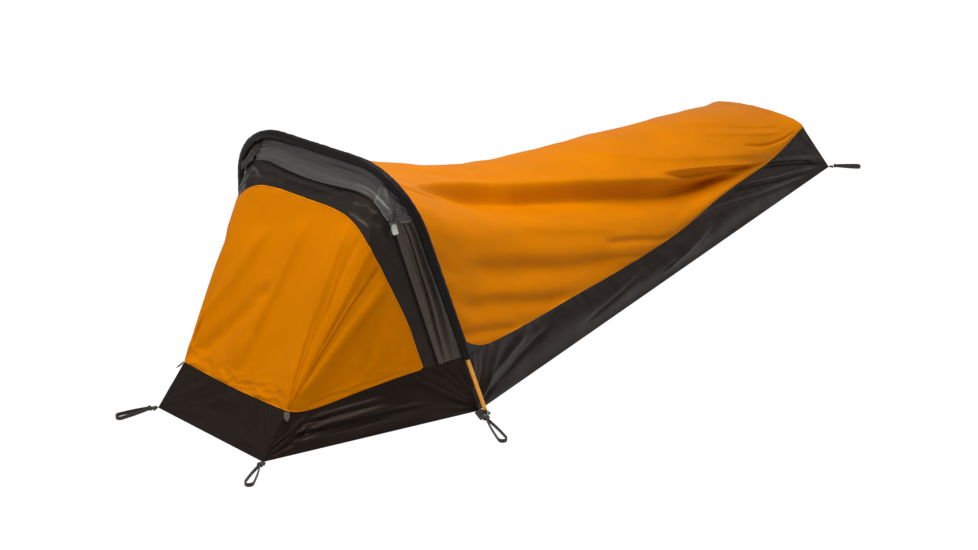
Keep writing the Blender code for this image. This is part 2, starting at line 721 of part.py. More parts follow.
def build_door():
    start = ZIP_GAP + TAPE_WIDTH

    def border(u, w):
        share = along_zip(u, door_start(start + BORDER_AT_BASE * w))
        return door_cloth(share, start + border_width(share) * w)

    pieces = 2 * (LEG_PIECES + BEND_PIECES)
    panel("door_border", border, (pieces, 3), BAND_BLACK)
    toe = door_start(start + BORDER_AT_BASE + DOOR_TOE)

    def leaf(u, w):
        share = along_zip(u, toe)
        first = start + border_width(share)
        full = (zip_line(share) - tub_edge(share)).length
        turn = (min(share, 2 - share) - LEG_SHARE) / (SHOULDER_SHARE - LEG_SHARE)
        return door_cloth(share, mix(first, full - DOOR_CORNER_ROOM * hump(turn), w))

    def creases(u, w):
        return folds(DOOR_FOLDS, u, w) * arc(u) ** 0.5 * arc(w) ** 0.5

    panel("door_leaf", leaf, (pieces, 12), ORANGE, creases)


def build_hoop():
    leg, shoulder, half_crown = hoop_lengths(0.0)
    whole = 2 * (leg + shoulder + half_crown)
    first = TIP_LENGTH
    section = (whole - 2 * first) / POLE_SECTIONS
    for k in range(POLE_SECTIONS):
        start = first + k * section + (GAP / 2 if k else 0)
        stop = first + (k + 1) * section - (GAP / 2 if k < POLE_SECTIONS - 1 else 0)
        mesh = swept(f"pole_section_{k + 1}", hoop_path(0.0, start, stop), POLE_RADIUS, POLE_BORE, 12)
        add_object(f"pole_section_{k + 1}", mesh, POLE_ORANGE, 0.35)
    for k in range(1, POLE_SECTIONS):
        centre = first + k * section
        path = hoop_path(0.0, centre - FERRULE_LENGTH / 2, centre + FERRULE_LENGTH / 2)
        mesh = swept(f"pole_ferrule_{k}", path, POLE_BORE - GAP, FERRULE_BORE, 10)
        add_object(f"pole_ferrule_{k}", mesh, STEEL, 0.3, 1.0)
    cord_start = first + TIP_SPIGOT + GAP
    path = hoop_path(0.0, cord_start, whole - cord_start)
    add_object("shock_cord", swept("shock_cord", path, CORD_RADIUS, 0.0, 8), WHITE, 0.8)
    path = hoop_path(0.0, SEAM_FOOT, whole - SEAM_FOOT)
    sleeve = swept("pole_sleeve", path, SLEEVE_RADIUS, SLEEVE_RADIUS - SLEEVE_WALL, 14)
    add_object("pole_sleeve", sleeve, BAND_BLACK)
    build_tips(first)


def build_tips(first):
    """Each tip: a stub for the grommet, a collar that stops the tube and a spigot inside it."""
    collar, spigot = POLE_RADIUS, POLE_BORE - GAP
    stub_end = TIP_STUB_START + TIP_STUB_LENGTH
    shoulder = stub_end + (collar - TIP_STUB_RADIUS) * 0.8
    profile = [(TIP_CORE, TIP_STUB_START), (TIP_STUB_RADIUS, TIP_STUB_START),
               (TIP_STUB_RADIUS, stub_end), (collar, shoulder), (collar, first - GAP),
               (spigot, first - GAP), (spigot, first + TIP_SPIGOT), (TIP_CORE, first + TIP_SPIGOT)]
    for side, word in ((1, "near"), (-1, "far")):
        tip = add_object(f"pole_tip_{word}", turned(f"pole_tip_{word}", profile, 14), BLACK, 0.5)
        foot = mirrored(hoop_point(0.0, 0.0), side)
        up = mirrored(hoop_point(0.0, 0.1), side) - foot
        tip.location = foot
        tip.rotation_mode = "QUATERNION"
        tip.rotation_quaternion = up.to_track_quat("Z", "Y")


def floor_notch(corner, before, after, direction, half_width):
    """Where a tab's sides meet the two groundsheet edges at a corner, a gap outside them."""
    def meet(start, edge, sign):
        outward = Vector((edge.y, -edge.x)).normalized()
        if outward.dot(direction) < 0:
            outward = -outward
        across = Vector((-direction.y, direction.x)) * sign * half_width
        begin = corner + across
        along = (outward.dot(corner) + GAP - outward.dot(begin)) / outward.dot(direction)
        return begin + direction * along

    first = meet(corner, (corner - before), -1)
    second = meet(corner, (after - corner), 1)
    return [first, corner + direction * TAB_NOTCH_OFF, second]


def teardrop(length, half_width, thickness, sides=14):
    """Outer and inner lines of a teardrop strap loop that runs along +X from its root."""
    radius = half_width
    centre = length - radius
    angle = math.acos(radius / centre)
    arc = [mix(-math.pi + angle, math.pi - angle, k / sides) for k in range(sides + 1)]
    outer = [(centre + radius * math.cos(a), radius * math.sin(a)) for a in arc]
    inner_radius = radius - thickness
    inner = [(centre + inner_radius * math.cos(a), inner_radius * math.sin(a)) for a in arc]
    root_gap = thickness / math.sin(math.pi / 2 - angle)
    return [(0.0, 0.0)] + outer, [(root_gap, 0.0)] + inner


def loop_mesh(name, length):
    """A strap loop that stands on its edge and narrows to its root."""
    outer, inner = teardrop(length, LOOP_HALF_WIDTH, LOOP_THICKNESS)
    count = len(outer)
    low, high = -LOOP_HEIGHT / 2, LOOP_HEIGHT / 2
    vertices = [(x, y, z) for z in (low, high) for ring in (outer, inner) for x, y in ring]
    faces = []
    for k in range(count):
        n = (k + 1) % count
        faces.append([k, n, count + n, count + k])
        faces.append([2 * count + k, 3 * count + k, 3 * count + n, 2 * count + n])
        faces.append([k, 2 * count + k, 2 * count + n, n])
        faces.append([count + k, count + n, 3 * count + n, 3 * count + k])
    return mesh_from(name, vertices, faces)


def add_loop(name, root, direction, length):
    """A peg loop with its origin on its hinge line, and the bound root that it swings on."""
    loop = add_object(name, loop_mesh(name, length), WEBBING)
    turn = Matrix.Rotation(math.atan2(direction.y, direction.x), 4, "Z")
    loop.matrix_world = Matrix.Translation((root.x, root.y, LOOP_AXIS_HEIGHT)) @ turn
    bound = rod(name + "_bound_root", KNUCKLE_RADIUS, BOUND_ROOT_LENGTH, 16, "Y")
    combine(loop, bound, "UNION")


def peg_points():
    """Each peg point: its name, corner and neighbours, turns, tab width and reach, loop length."""
    flat = [Vector((p.x, p.y)) for p in (HEAD_FOOT, HOOP_FOOT, TOE_FOOT)]
    head, hoop, toe = flat
    far_head, far_toe = Vector((-head.x, head.y)), Vector((-toe.x, toe.y))
    return [
        ("head", head, far_head, hoop, HEAD_LOOP_TURNS, TAB_WIDTH, TAB_REACH, CORNER_LOOP_LENGTH),
        ("hoop", hoop, head, toe, HOOP_LOOP_TURNS, HOOP_TAB_WIDTH, HOOP_TAB_REACH, HOOP_LOOP_LENGTH),
        ("foot", toe, hoop, far_toe, FOOT_LOOP_TURNS, TAB_WIDTH, TAB_REACH, CORNER_LOOP_LENGTH),
    ]


def build_pegging():
    for place, corner, before, after, turns, width, reach, length in peg_points():
        for side, word, turn in ((1, "near", turns[0]), (-1, "far", turns[1])):
            direction = Vector((math.cos(turn), math.sin(turn)))
            across = Vector((-direction.y, direction.x)) * width / 2
            tip = corner + direction * reach
            inner_end = floor_notch(corner, before, after, direction, width / 2)
            outline = inner_end + [tip + across, tip - across]
            name = f"peg_tab_{place}_{word}"
            mesh = prism(name, [(p.x * side, p.y) for p in outline], 0.0, TAB_THICKNESS)
            tab = add_object(name, mesh, WEBBING)
            if place == "hoop":
                foot = mirrored(hoop_point(0.0, 0.0), side)
                hole = rod(name + "_hole", GROMMET_BARREL + GAP, TAB_THICKNESS * 4, 20)
                combine(tab, hole, "DIFFERENCE", Matrix.Translation(foot))
                add_grommet(f"grommet_{word}", foot)
            root = tip + direction * (KNUCKLE_RADIUS + GAP)
            way = Vector((direction.x * side, direction.y))
            add_loop(f"peg_loop_{place}_{word}", Vector((root.x * side, root.y)), way, length)


def add_grommet(name, place):
    top = TAB_THICKNESS + GAP
    rim = GROMMET_FLANGE - 0.8 * GROMMET_THICKNESS
    profile = [(GROMMET_BORE, GAP), (GROMMET_BARREL, GAP), (GROMMET_BARREL, top),
               (GROMMET_FLANGE, top), (rim, top + GROMMET_THICKNESS),
               (GROMMET_BORE, top + GROMMET_THICKNESS)]
    grommet = add_object(name, turned(name, profile, 24), STEEL, 0.3, 1.0)
    grommet.location = (place.x, place.y, 0)


def slider_frame(side):
    """The slider's place at the top of its straight leg, and which way across the door lies."""
    down, up = mirrored(-ZIP_RISE, side), mirrored(TAPE_WAY, side)
    here = mirrored(ZIP_BEND, side) + down * SLIDER_CLEAR
    outward = down.cross(up).normalized()
    if outward.dot(here - inside_of(here)) < 0:
        outward = -outward
    across = down.cross(outward)
    hand = 1 if across.dot(up) < 0 else -1
    frame = Matrix((across, down, outward)).transposed().to_4x4()
    frame.translation = here
    return frame, hand


def slider_mesh(name, hand):
    """A C-shaped runner round the shell-side tape, with two ears for the pull on top.

    Local Y goes down the zip, Z outwards from the cloth, and X times hand across to the door.
    """
    tape_reach = TAPE_WIDTH - TEETH_WIDTH
    top, bottom = SLIDER_CLEAR, -TAPE_THICKNESS - SLIDER_CLEAR
    spine_in = SLIDER_CLEAR - GAP / 2
    spine_out = spine_in + SLIDER_SPINE
    outline = [(-tape_reach, top), (-tape_reach, top + SLIDER_PLATE), (spine_out, top + SLIDER_PLATE),
               (spine_out, bottom - SLIDER_PLATE), (-tape_reach, bottom - SLIDER_PLATE),
               (-tape_reach, bottom), (spine_in, bottom), (spine_in, top)]
    return prism(name, [(x * hand, z) for x, z in outline], 0.0, SLIDER_LENGTH, "xzy")


def ear_mesh(name, low, high):
    """A round-topped ear on the slider, its foot sunk into the top plate."""
    outline = [(PULL_PIVOT_DOWN + EAR_RADIUS * math.cos(a), PULL_PIVOT_OUT + EAR_RADIUS * math.sin(a))
               for a in [math.pi * k / 8 for k in range(9)]]
    foot = SLIDER_CLEAR + SLIDER_PLATE / 2
    outline += [(PULL_PIVOT_DOWN - EAR_RADIUS, foot), (PULL_PIVOT_DOWN + EAR_RADIUS, foot)]
    return prism(name, outline, low, high, "yzx")


def pull_mesh(name):
    """A flat tab on a narrow neck, with its origin at the neck's end."""
    half, neck, cut = PULL_WIDTH / 2, PULL_NECK_WIDTH / 2, PULL_CORNER
    flank = [(neck, 0), (neck, PULL_NECK_LENGTH), (half, PULL_NECK_LENGTH + cut),
             (half, PULL_LENGTH - cut), (half - cut, PULL_LENGTH)]
    outline = flank + [(-x, y) for x, y in reversed(flank)]
    return prism(name, outline, -PULL_THICKNESS / 2, PULL_THICKNESS / 2)


def build_sliders():
    for side, word in ((1, "near"), (-1, "far")):
        frame, hand = slider_frame(side)
        name = f"zip_slider_{word}"
        slider = add_object(name, slider_mesh(name, hand), BLACK, 0.4, 0.3)
        slider.matrix_world = frame
        centre = PULL_CENTRE * hand
        inner = PULL_NECK_WIDTH / 2 + GAP
        for low in (centre - inner - EAR_WIDTH, centre + inner):
            ear = ear_mesh(f"{name}_ear", low, low + EAR_WIDTH)
            combine(slider, ear, "UNION")
        name = f"zip_pull_{word}"
        pull = add_object(name, pull_mesh(name), WHITE, 0.5)
        pull.matrix_world = frame @ Matrix.Translation((centre, PULL_PIVOT_DOWN, PULL_PIVOT_OUT))
        combine(pull, rod(name + "_knuckle", PULL_KNUCKLE, PULL_NECK_WIDTH, 12, "X"), "UNION")


def build_gear_tabs():
    """Pointed webbing tabs that stick out from the tub's top seam at the head corners."""
    half = GEAR_TAB_WIDTH / 2
    outline = [(0, -half), (GEAR_TAB_LENGTH * 0.6, -half), (GEAR_TAB_LENGTH, 0),
               (GEAR_TAB_LENGTH * 0.6, half), (0, half)]
    for side, word in ((1, "near"), (-1, "far")):
        name = f"gear_tab_{word}"
        half_wall = GEAR_TAB_THICKNESS / 2
        tab = add_object(name, prism(name, outline, -half_wall, half_wall), WEBBING)
        corner = mirrored(HEAD_TOP, side)
        outward = (mirrored(HEAD_FOOT, side) - corner + Vector((side * GEAR_TAB_SPLAY, 0, 0))).normalized()
        level = mirrored(HOOP_TOP - HEAD_TOP, side) * side
        across = outward.cross(level).cross(outward).normalized()
        frame = Matrix((outward, across, outward.cross(across))).transposed().to_4x4()
        frame.translation = corner + outward * GEAR_TAB_OFF
        tab.matrix_world = frame


def main():
    for item in list(bpy.data.objects):
        bpy.data.objects.remove(item)
    build_floor()
    build_tub()
    build_canopy()
    build_hood()
    build_zip_tapes()
    build_door()
    build_hoop()
    build_pegging()
    build_sliders()
    build_gear_tabs()


main()
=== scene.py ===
"""Looks of the hooped bivy shelter, laid out as an add-on: one operator makes each group of pieces."""

import math

import bmesh
import bpy
import numpy as np
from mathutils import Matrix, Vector


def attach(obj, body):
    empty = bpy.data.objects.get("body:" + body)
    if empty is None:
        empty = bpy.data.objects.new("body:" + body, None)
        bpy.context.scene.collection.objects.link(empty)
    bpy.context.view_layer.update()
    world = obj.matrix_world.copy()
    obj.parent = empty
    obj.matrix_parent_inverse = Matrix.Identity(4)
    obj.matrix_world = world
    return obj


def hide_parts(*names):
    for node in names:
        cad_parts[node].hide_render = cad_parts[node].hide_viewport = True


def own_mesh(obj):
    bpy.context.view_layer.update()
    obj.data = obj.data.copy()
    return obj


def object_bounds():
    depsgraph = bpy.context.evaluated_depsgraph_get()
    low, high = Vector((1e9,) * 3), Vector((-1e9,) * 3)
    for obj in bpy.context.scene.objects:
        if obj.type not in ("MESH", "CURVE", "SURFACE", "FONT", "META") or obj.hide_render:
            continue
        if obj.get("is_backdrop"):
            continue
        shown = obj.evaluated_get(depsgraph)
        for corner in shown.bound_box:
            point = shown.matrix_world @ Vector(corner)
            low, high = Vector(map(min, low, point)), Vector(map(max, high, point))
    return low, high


bl_info = {
    "name": "Hooped bivy shelter",
    "version": (1, 0, 0),
    "blender": (4, 5, 0),
    "location": "3D View > Sidebar > Bivy",
    "description": "Dresses the packed bivy shelter in cloth, webbing and metal, and sets up its studio",
    "category": "Object",
}

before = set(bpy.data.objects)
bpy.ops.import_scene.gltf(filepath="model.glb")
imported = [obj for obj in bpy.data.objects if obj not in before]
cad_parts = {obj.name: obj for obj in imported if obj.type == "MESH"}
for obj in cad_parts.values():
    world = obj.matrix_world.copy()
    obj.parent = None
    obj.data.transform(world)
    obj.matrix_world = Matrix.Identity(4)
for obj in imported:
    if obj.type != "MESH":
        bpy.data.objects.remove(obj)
FRAME_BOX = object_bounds()

# The solids' own measurements, in metres, with Y measured from the head edge
LENGTH = 2.35
HEAD_HALF, HOOP_HALF, FOOT_HALF, HOOP_Y = 0.177, 0.385, 0.230, 0.462
HEAD_WALL_RISE, HEAD_WALL_SETBACK, HEAD_TOP_HALF = 0.088, 0.080, 0.171
FOOT_WALL_RISE, FOOT_WALL_SETBACK, FOOT_TOP_HALF = 0.143, 0.083, 0.170
FOOT_CROWN, WALL_BULGE, REAR_SEAM_SAG, SEAM_HEIGHT = 0.030, 0.010, 0.050, 0.140
FLOOR_THICKNESS = 0.0012
POLE_FOOT_HALF, POLE_CROWN, LEG_LEAN = 0.410, 0.573, math.radians(14.8)
SHOULDER_RADIUS, HOOP_LEAN = 0.185, math.radians(9.3)
SLEEVE_RADIUS, SEAM_ROOM = 0.0110, 0.00045
TIP_LENGTH, TIP_SPIGOT, GAP = 0.014, 0.016, 0.0003
ZIP_LINE, ZIP_LINE_BEND, ZIP_LINE_TOP, ZIP_STRAIGHT_PAST_LEG = 0.0705, 0.046, 0.058, 0.100
ZIP_GAP, TAPE_WIDTH, LEAST_SHARE = 0.0016, 0.007, 0.002
DOOR_SEAM, BORDER_AT_BASE, DOOR_TOE, DOOR_ROOM = ZIP_GAP + TAPE_WIDTH, 0.030, 0.008, 0.0008
BORDER_WIDTHS = ((0.0, 0.030), (0.11, 0.032), (0.22, 0.033), (0.34, 0.042), (0.475, 0.055),
                 (0.60, 0.073), (0.69, 0.064), (0.78, 0.052), (0.88, 0.041), (1.0, 0.038))
LEG_PIECES, BEND_PIECES, BROW_END_PIECES = 5, 10, 2
GUSSET_HEIGHT, GUSSET_LENGTH = 0.085, 0.120
RIDGE_PROFILE = ((0.0, 0.0), (0.10, 0.27), (0.28, 0.555), (0.54, 0.695), (0.80, 0.81), (1.0, 1.0))
HOOP_SHAPE_SHARE = 0.55
HALF_LEAN = np.array((0.0, math.cos(HOOP_LEAN), math.sin(HOOP_LEAN)))


# Plain sums on arrays of points

def at(x, y, z):
    return np.stack(np.broadcast_arrays(np.asarray(x, float), np.asarray(y, float) - LENGTH / 2, z), -1)


def mix(a, b, share):
    return a + (b - a) * share


def between(a, b, share):
    return a + (b - a) * np.asarray(share)[..., None]


def ease(share):
    share = np.clip(share, 0, 1)
    return share * share * (3 - 2 * share)


def arc(share):
    return np.sin(np.pi * np.clip(share, 0, 1))


def size_of(way):
    return np.linalg.norm(way, axis=-1)


def unit(way):
    return way / np.maximum(size_of(way), 1e-12)[..., None]


def dot(a, b):
    return (a * b).sum(-1)


def through(stations, x):
    """A smooth curve through a few stations, as the solids' ridge is drawn."""
    table = np.array(stations)
    x = np.asarray(x, float)
    k = np.clip(np.searchsorted(table[:, 0], x) - 1, 0, len(table) - 2)
    before, after = table[np.maximum(k - 1, 0)], table[np.minimum(k + 2, len(table) - 1)]
    (x0, y0), (x1, y1) = np.moveaxis(table[k], -1, 0), np.moveaxis(table[k + 1], -1, 0)
    slope_in = (y1 - before[..., 1]) / (x1 - before[..., 0])
    slope_out = (after[..., 1] - y0) / (after[..., 0] - x0)
    s, h = (x - x0) / (x1 - x0), x1 - x0
    return ((2 * s ** 3 - 3 * s * s + 1) * y0 + (s ** 3 - 2 * s * s + s) * h * slope_in
            + (3 * s * s - 2 * s ** 3) * y1 + (s ** 3 - s * s) * h * slope_out)


def noise(x, y, seed):
    """Smooth seeded noise of about -1 to 1, one bump to each whole step of x and y."""
    turns = np.random.default_rng(seed).uniform(0, 2 * np.pi, (128, 128))
    x, y = np.broadcast_arrays(np.asarray(x, float), np.asarray(y, float))
    left, low = np.floor(x).astype(int), np.floor(y).astype(int)
    total = 0.0
    for i in (0, 1):
        for j in (0, 1):
            angle = turns[(left + i) % 128, (low + j) % 128]
            dx, dy = x - left - i, y - low - j
            reach = ease(1 - np.abs(dx)) * ease(1 - np.abs(dy))
            total = total + reach * (np.cos(angle) * dx + np.sin(angle) * dy)
    return total * 1.6


def crease(u, v, course, widths, height):
    """A rounded crease along a course of (v, u) places: its two flanks' widths and its rise."""
    start, stop = course[0][0], course[-1][0]
    off = u - through(course, np.clip(v, start, stop))
    off = off / np.where(off < 0, widths[0], widths[1])
    return height * np.exp(-off * off) * between_ends(v, start, stop)


def between_ends(v, start, stop, first=0.18, last=0.22):
    """1 along a fold, eased to 0 at its ends over these shares of its length."""
    return ease((v - start) / (first * (stop - start))) * ease((stop - v) / (last * (stop - start)))


# A step: how soft its crest is, how far past its valley the cloth comes up again, and its crest's swell
CREST_SOFTNESS, VALLEY_REACH, CREST_SWELL = 0.07, 0.11, 0.06


def step(u, v, crest, valley, depth, lean):
    """Cloth that falls over from a crest to a valley: how far it leans sideways, and its rise."""
    start, stop = max(crest[0][0], valley[0][0]), min(crest[-1][0], valley[-1][0])
    place = np.clip(v, start, stop)
    high, low = through(crest, place), through(valley, place)
    s = (high - u) / (high - low)
    ends = between_ends(v, start, stop, 0.22)
    soft = CREST_SOFTNESS * np.logaddexp(0, s / CREST_SOFTNESS)
    fall = np.where(soft < 1, ease(soft ** 0.95), np.exp(-((soft - 1) * (high - low) / VALLEY_REACH) ** 2))
    swell = np.exp(-((s + 0.15) / 0.5) ** 2) * CREST_SWELL
    over = lean * (high - low) * np.clip(s + 0.2, 0, 1.2) * np.exp(-((s - 0.62) / 0.3) ** 2)
    return -over * ends, depth * (swell - fall) * ends


def folds(courses, u, v):
    """The rise of all creases of a panel together, in metres."""
    return sum(crease(u, v, *given) for given in courses)


def slanted(along, across, a, b, c, d, seed):
    """Seeded noise on a panel: a and b steps to a metre along and across one way, d and c the other."""
    return noise(along * a + across * b, across * c + along * d, seed)


def ripples(rows, along, across, seed=0, **edges):
    """Small wrinkles, each row a rise and its noise, and for some an edge and how far they reach from it."""
    total = 0.0
    for rise, a, b, c, d, own_seed, *fade in rows:
        wave = rise * slanted(along, across, a, b, c, d, seed + own_seed)
        total = total + (wave * np.exp(-edges[fade[0]] / fade[1]) if fade else wave)
    return total


def tucks(along, across, a, b, c, d, seed, power=3):
    """Narrow seeded ridges, 1 high along their crests."""
    return (1 - np.abs(slanted(along, across, a, b, c, d, seed))) ** power


# The shelter's lines and surfaces: the solids' own, but that the tub's edge and rear seam also sag

def hoop_lengths(inset):
    radius, crown = SHOULDER_RADIUS - inset, POLE_CROWN - inset
    leg = (crown - radius * (1 - math.sin(LEG_LEAN))) / math.cos(LEG_LEAN)
    foot = POLE_FOOT_HALF - inset / math.cos(LEG_LEAN)
    half_crown = foot - leg * math.sin(LEG_LEAN) - radius * math.cos(LEG_LEAN)
    return leg, radius * (math.pi / 2 - LEG_LEAN), half_crown


def hoop_point(inset, distance):
    leg, shoulder, half_crown = hoop_lengths(inset)
    half, radius = leg + shoulder + half_crown, SHOULDER_RADIUS - inset
    distance = np.asarray(distance, float)
    side, run = np.where(distance <= half, 1, -1), np.where(distance <= half, distance, 2 * half - distance)
    angle = LEG_LEAN + (run - leg) / radius
    foot = POLE_FOOT_HALF - inset / math.cos(LEG_LEAN)
    on_leg, on_shoulder = run <= leg, run <= leg + shoulder
    across = np.where(on_leg, foot - run * math.sin(LEG_LEAN),
                      np.where(on_shoulder, half_crown + radius * np.cos(angle), half - run))
    up = np.where(on_leg, run * math.cos(LEG_LEAN),
                  np.where(on_shoulder, POLE_CROWN - inset - radius + radius * np.sin(angle),
                           POLE_CROWN - inset))
    return at(side * across, HOOP_Y - up * math.sin(HOOP_LEAN), up * math.cos(HOOP_LEAN))


SEAM_INSET = SLEEVE_RADIUS + SEAM_ROOM
SEAM_LEG, SEAM_SHOULDER, SEAM_CROWN = hoop_lengths(SEAM_INSET)
SEAM_FOOT = SEAM_HEIGHT / math.cos(HOOP_LEAN) / math.cos(LEG_LEAN)
SEAM_HALF = SEAM_LEG + SEAM_SHOULDER + SEAM_CROWN - SEAM_FOOT
LEG_SHARE = (SEAM_LEG - SEAM_FOOT) / SEAM_HALF
SHOULDER_SHARE = LEG_SHARE + SEAM_SHOULDER / SEAM_HALF


def seam(share):
    """The seam under the sleeve: 0 at the near tub corner, 1 at the crown, 2 at the far corner."""
    return hoop_point(SEAM_INSET, SEAM_FOOT + np.asarray(share, float) * SEAM_HALF)


HEAD_FOOT, HOOP_FOOT, TOE_FOOT = at(HEAD_HALF, 0, 0), at(HOOP_HALF, HOOP_Y, 0), at(FOOT_HALF, LENGTH, 0)
HEAD_TOP, HOOP_TOP = at(HEAD_TOP_HALF, HEAD_WALL_SETBACK, HEAD_WALL_RISE), seam(0.0)
TOE_TOP = at(FOOT_TOP_HALF, LENGTH - FOOT_WALL_SETBACK, FOOT_WALL_RISE)
HEAD_CENTRE = HEAD_TOP * (0, 1, 1)
EDGE_SAG, EDGE_SAG_REACH, EDGE_SAG_END, FRONT_SAG = 0.015, 0.065, 0.33, 0.006


def mirrored(point, side):
    return point * np.stack(np.broadcast_arrays(side, 1.0, 1.0), -1)


def near_share(share):
    share = np.asarray(share, float)
    return np.minimum(share, 2 - share), np.where(share <= 1, 1.0, -1.0)


def tub_edge(share):
    """The tub's top edge at the head, in step with seam(): side edge, corner, front edge.

    The cloth pulls it down a little on both sides of the corner, which rounds the corner off.
    """
    near, side = near_share(share)
    edge = between(HOOP_TOP, HEAD_TOP, np.clip(near / LEG_SHARE, 0, 1))
    front = between(HEAD_TOP, HEAD_CENTRE, np.clip((near - SHOULDER_SHARE) / (1 - SHOULDER_SHARE), 0, 1))
    on_front = near > SHOULDER_SHARE
    run = size_of(np.where(on_front[..., None], front, edge) - HEAD_TOP)
    reach = run / EDGE_SAG_REACH
    dip = EDGE_SAG * reach * np.exp(1 - reach) * np.clip(1 - (run / EDGE_SAG_END) ** 4, 0, 1)
    dip = np.where(on_front, FRONT_SAG * np.sin(np.pi / 2 * np.clip(run / HEAD_TOP_HALF, 0, 1)), dip)
    point = np.where(on_front[..., None], front, edge)
    return mirrored(point - np.stack(np.broadcast_arrays(0, 0, dip), -1), side)


def ruling(share, distance):
    top = seam(share)
    return top + unit(tub_edge(share) - top) * np.asarray(distance)[..., None]


WIDEST = float(size_of(seam(LEG_SHARE) - tub_edge(LEG_SHARE)))
ZIP_BASE_SHARE = LEG_SHARE * ZIP_LINE / WIDEST
ZIP_BEND_SHARE = LEG_SHARE + ZIP_STRAIGHT_PAST_LEG / SEAM_HALF
ZIP_BASE, ZIP_BEND = tub_edge(ZIP_BASE_SHARE), ruling(ZIP_BEND_SHARE, ZIP_LINE_BEND)
ZIP_RISE, EDGE_WAY = unit(ZIP_BEND - ZIP_BASE), unit(HOOP_TOP - ZIP_BASE)
TAPE_WAY = unit(EDGE_WAY - ZIP_RISE * dot(EDGE_WAY, ZIP_RISE))
EDGE_LENGTH = float(size_of(HOOP_TOP - HEAD_TOP))
TAPE_BASE_SHARE = ZIP_BASE_SHARE - TAPE_WIDTH / dot(EDGE_WAY, TAPE_WAY) * LEG_SHARE / EDGE_LENGTH
LEG_SPAN = LEG_PIECES / (2 * (LEG_PIECES + BEND_PIECES))
BROW_SHARE = mix(ZIP_BEND_SHARE, 1, BROW_END_PIECES / BEND_PIECES)


def along_zip(u, base):
    """The share of the hoop for a place along a band that starts at base: leg, bend and leg."""
    first = mix(base, ZIP_BEND_SHARE, np.clip(u / LEG_SPAN, 0, 1))
    last = 2 - mix(base, ZIP_BEND_SHARE, np.clip((1 - u) / LEG_SPAN, 0, 1))
    middle = mix(ZIP_BEND_SHARE, 2 - ZIP_BEND_SHARE, (u - LEG_SPAN) / (1 - 2 * LEG_SPAN))
    return np.where(u <= LEG_SPAN, first, np.where(u >= 1 - LEG_SPAN, last, middle))


def zip_line(share):
    """The middle of the zip: straight from the tub's side edge, then round under the hoop."""
    near, side = near_share(share)
    way = np.clip((near - ZIP_BASE_SHARE) / (ZIP_BEND_SHARE - ZIP_BASE_SHARE), -1, 1)
    leg = mirrored(between(ZIP_BASE, ZIP_BEND, way), side)
    depth = mix(ZIP_LINE_BEND, ZIP_LINE_TOP, ease((near - ZIP_BEND_SHARE) / (1 - ZIP_BEND_SHARE)))
    return np.where((near >= ZIP_BEND_SHARE)[..., None], ruling(share, depth), leg)


def tape_edge(share):
    """The shell-side edge of the zip tape, which is flat as far as the zip runs straight."""
    near, side = near_share(share)
    base = tub_edge(TAPE_BASE_SHARE)
    way = (near - TAPE_BASE_SHARE) / (ZIP_BEND_SHARE - TAPE_BASE_SHARE)
    leg = mirrored(between(base, ZIP_BEND + TAPE_WAY * TAPE_WIDTH, way), side)
    middle = zip_line(share)
    blend = ease((near - ZIP_BEND_SHARE) / (0.5 * (1 - ZIP_BEND_SHARE)))
    bend = middle + unit(between(mirrored(TAPE_WAY, side), unit(seam(share) - middle), blend)) * TAPE_WIDTH
    return np.where((near <= ZIP_BEND_SHARE)[..., None], leg, bend)


def shell_cloth(stops, side=1.0):
    """Shell cloth between the hoop seam and the zip tape, through equal runs between its stops."""
    def surface(u, w):
        start = np.maximum(TAPE_BASE_SHARE * w, LEAST_SHARE) if stops[0] is None else stops[0]
        share = start + 0 * u
        last = [stop(w) if callable(stop) else stop for stop in stops[1:]]
        for k, (a, b) in enumerate(zip((start, *last), last)):
            part = u * (len(stops) - 1) - k
            share = np.where(part >= 0, mix(a, b, part), share)
        low = between(seam(share), tub_edge(share), w * TAPE_BASE_SHARE / np.maximum(share, 1e-6))
        high = between(seam(share), tape_edge(share), w)
        return mirrored(np.where((share < TAPE_BASE_SHARE)[..., None], low, high), side)
    return surface


def shell_tape(u, w):
    """The shell's half of the zip: w is 0 at its sewn edge and 1 at the zip line."""
    return between(tape_edge(along_zip(u, TAPE_BASE_SHARE)), zip_line(along_zip(u, ZIP_BASE_SHARE)), w)


def door_cloth(share, distance):
    """A point of the door, at a distance from the zip line towards the tub's edge."""
    middle = zip_line(share)
    return middle + unit(tub_edge(share) - middle) * np.asarray(distance)[..., None]


ZIP_REACH = float(size_of(zip_line(LEG_SHARE) - tub_edge(LEG_SHARE)))


def door_start(distance):
    return mix(ZIP_BASE_SHARE, LEG_SHARE, distance / ZIP_REACH) + DOOR_ROOM * LEG_SHARE / EDGE_LENGTH


def border_width(share):
    return through(BORDER_WIDTHS, (near_share(share)[0] - ZIP_BASE_SHARE) / (1 - ZIP_BASE_SHARE))


def door_tape(u, w):
    distance = ZIP_GAP + TAPE_WIDTH * w
    return door_cloth(along_zip(u, door_start(distance)), distance)


def door_band(u, w):
    share = along_zip(u, door_start(DOOR_SEAM + BORDER_AT_BASE * w))
    return door_cloth(share, DOOR_SEAM + border_width(share) * w)


def door_leaf(u, w):
    share = along_zip(u, door_start(DOOR_SEAM + BORDER_AT_BASE + DOOR_TOE))
    full = size_of(zip_line(share) - tub_edge(share))
    return door_cloth(share, mix(DOOR_SEAM + border_width(share), full, w))


# How far the rear seam sags under the solids' own, by the share along it
REAR_SEAM_SWAY = ((0.0, 0.0), (0.12, 0.005), (0.26, 0.004), (0.39, 0.010), (0.50, 0.015), (0.58, 0.015),
                  (0.66, 0.005), (0.72, 0.004), (0.80, 0.012), (0.87, 0.019), (0.93, 0.016), (1.0, 0.0))


def rear_edge(v):
    drop = REAR_SEAM_SAG * arc(v) + through(REAR_SEAM_SWAY, v)
    return between(HOOP_TOP, TOE_TOP, v) - np.stack(np.broadcast_arrays(0, 0, drop), -1)


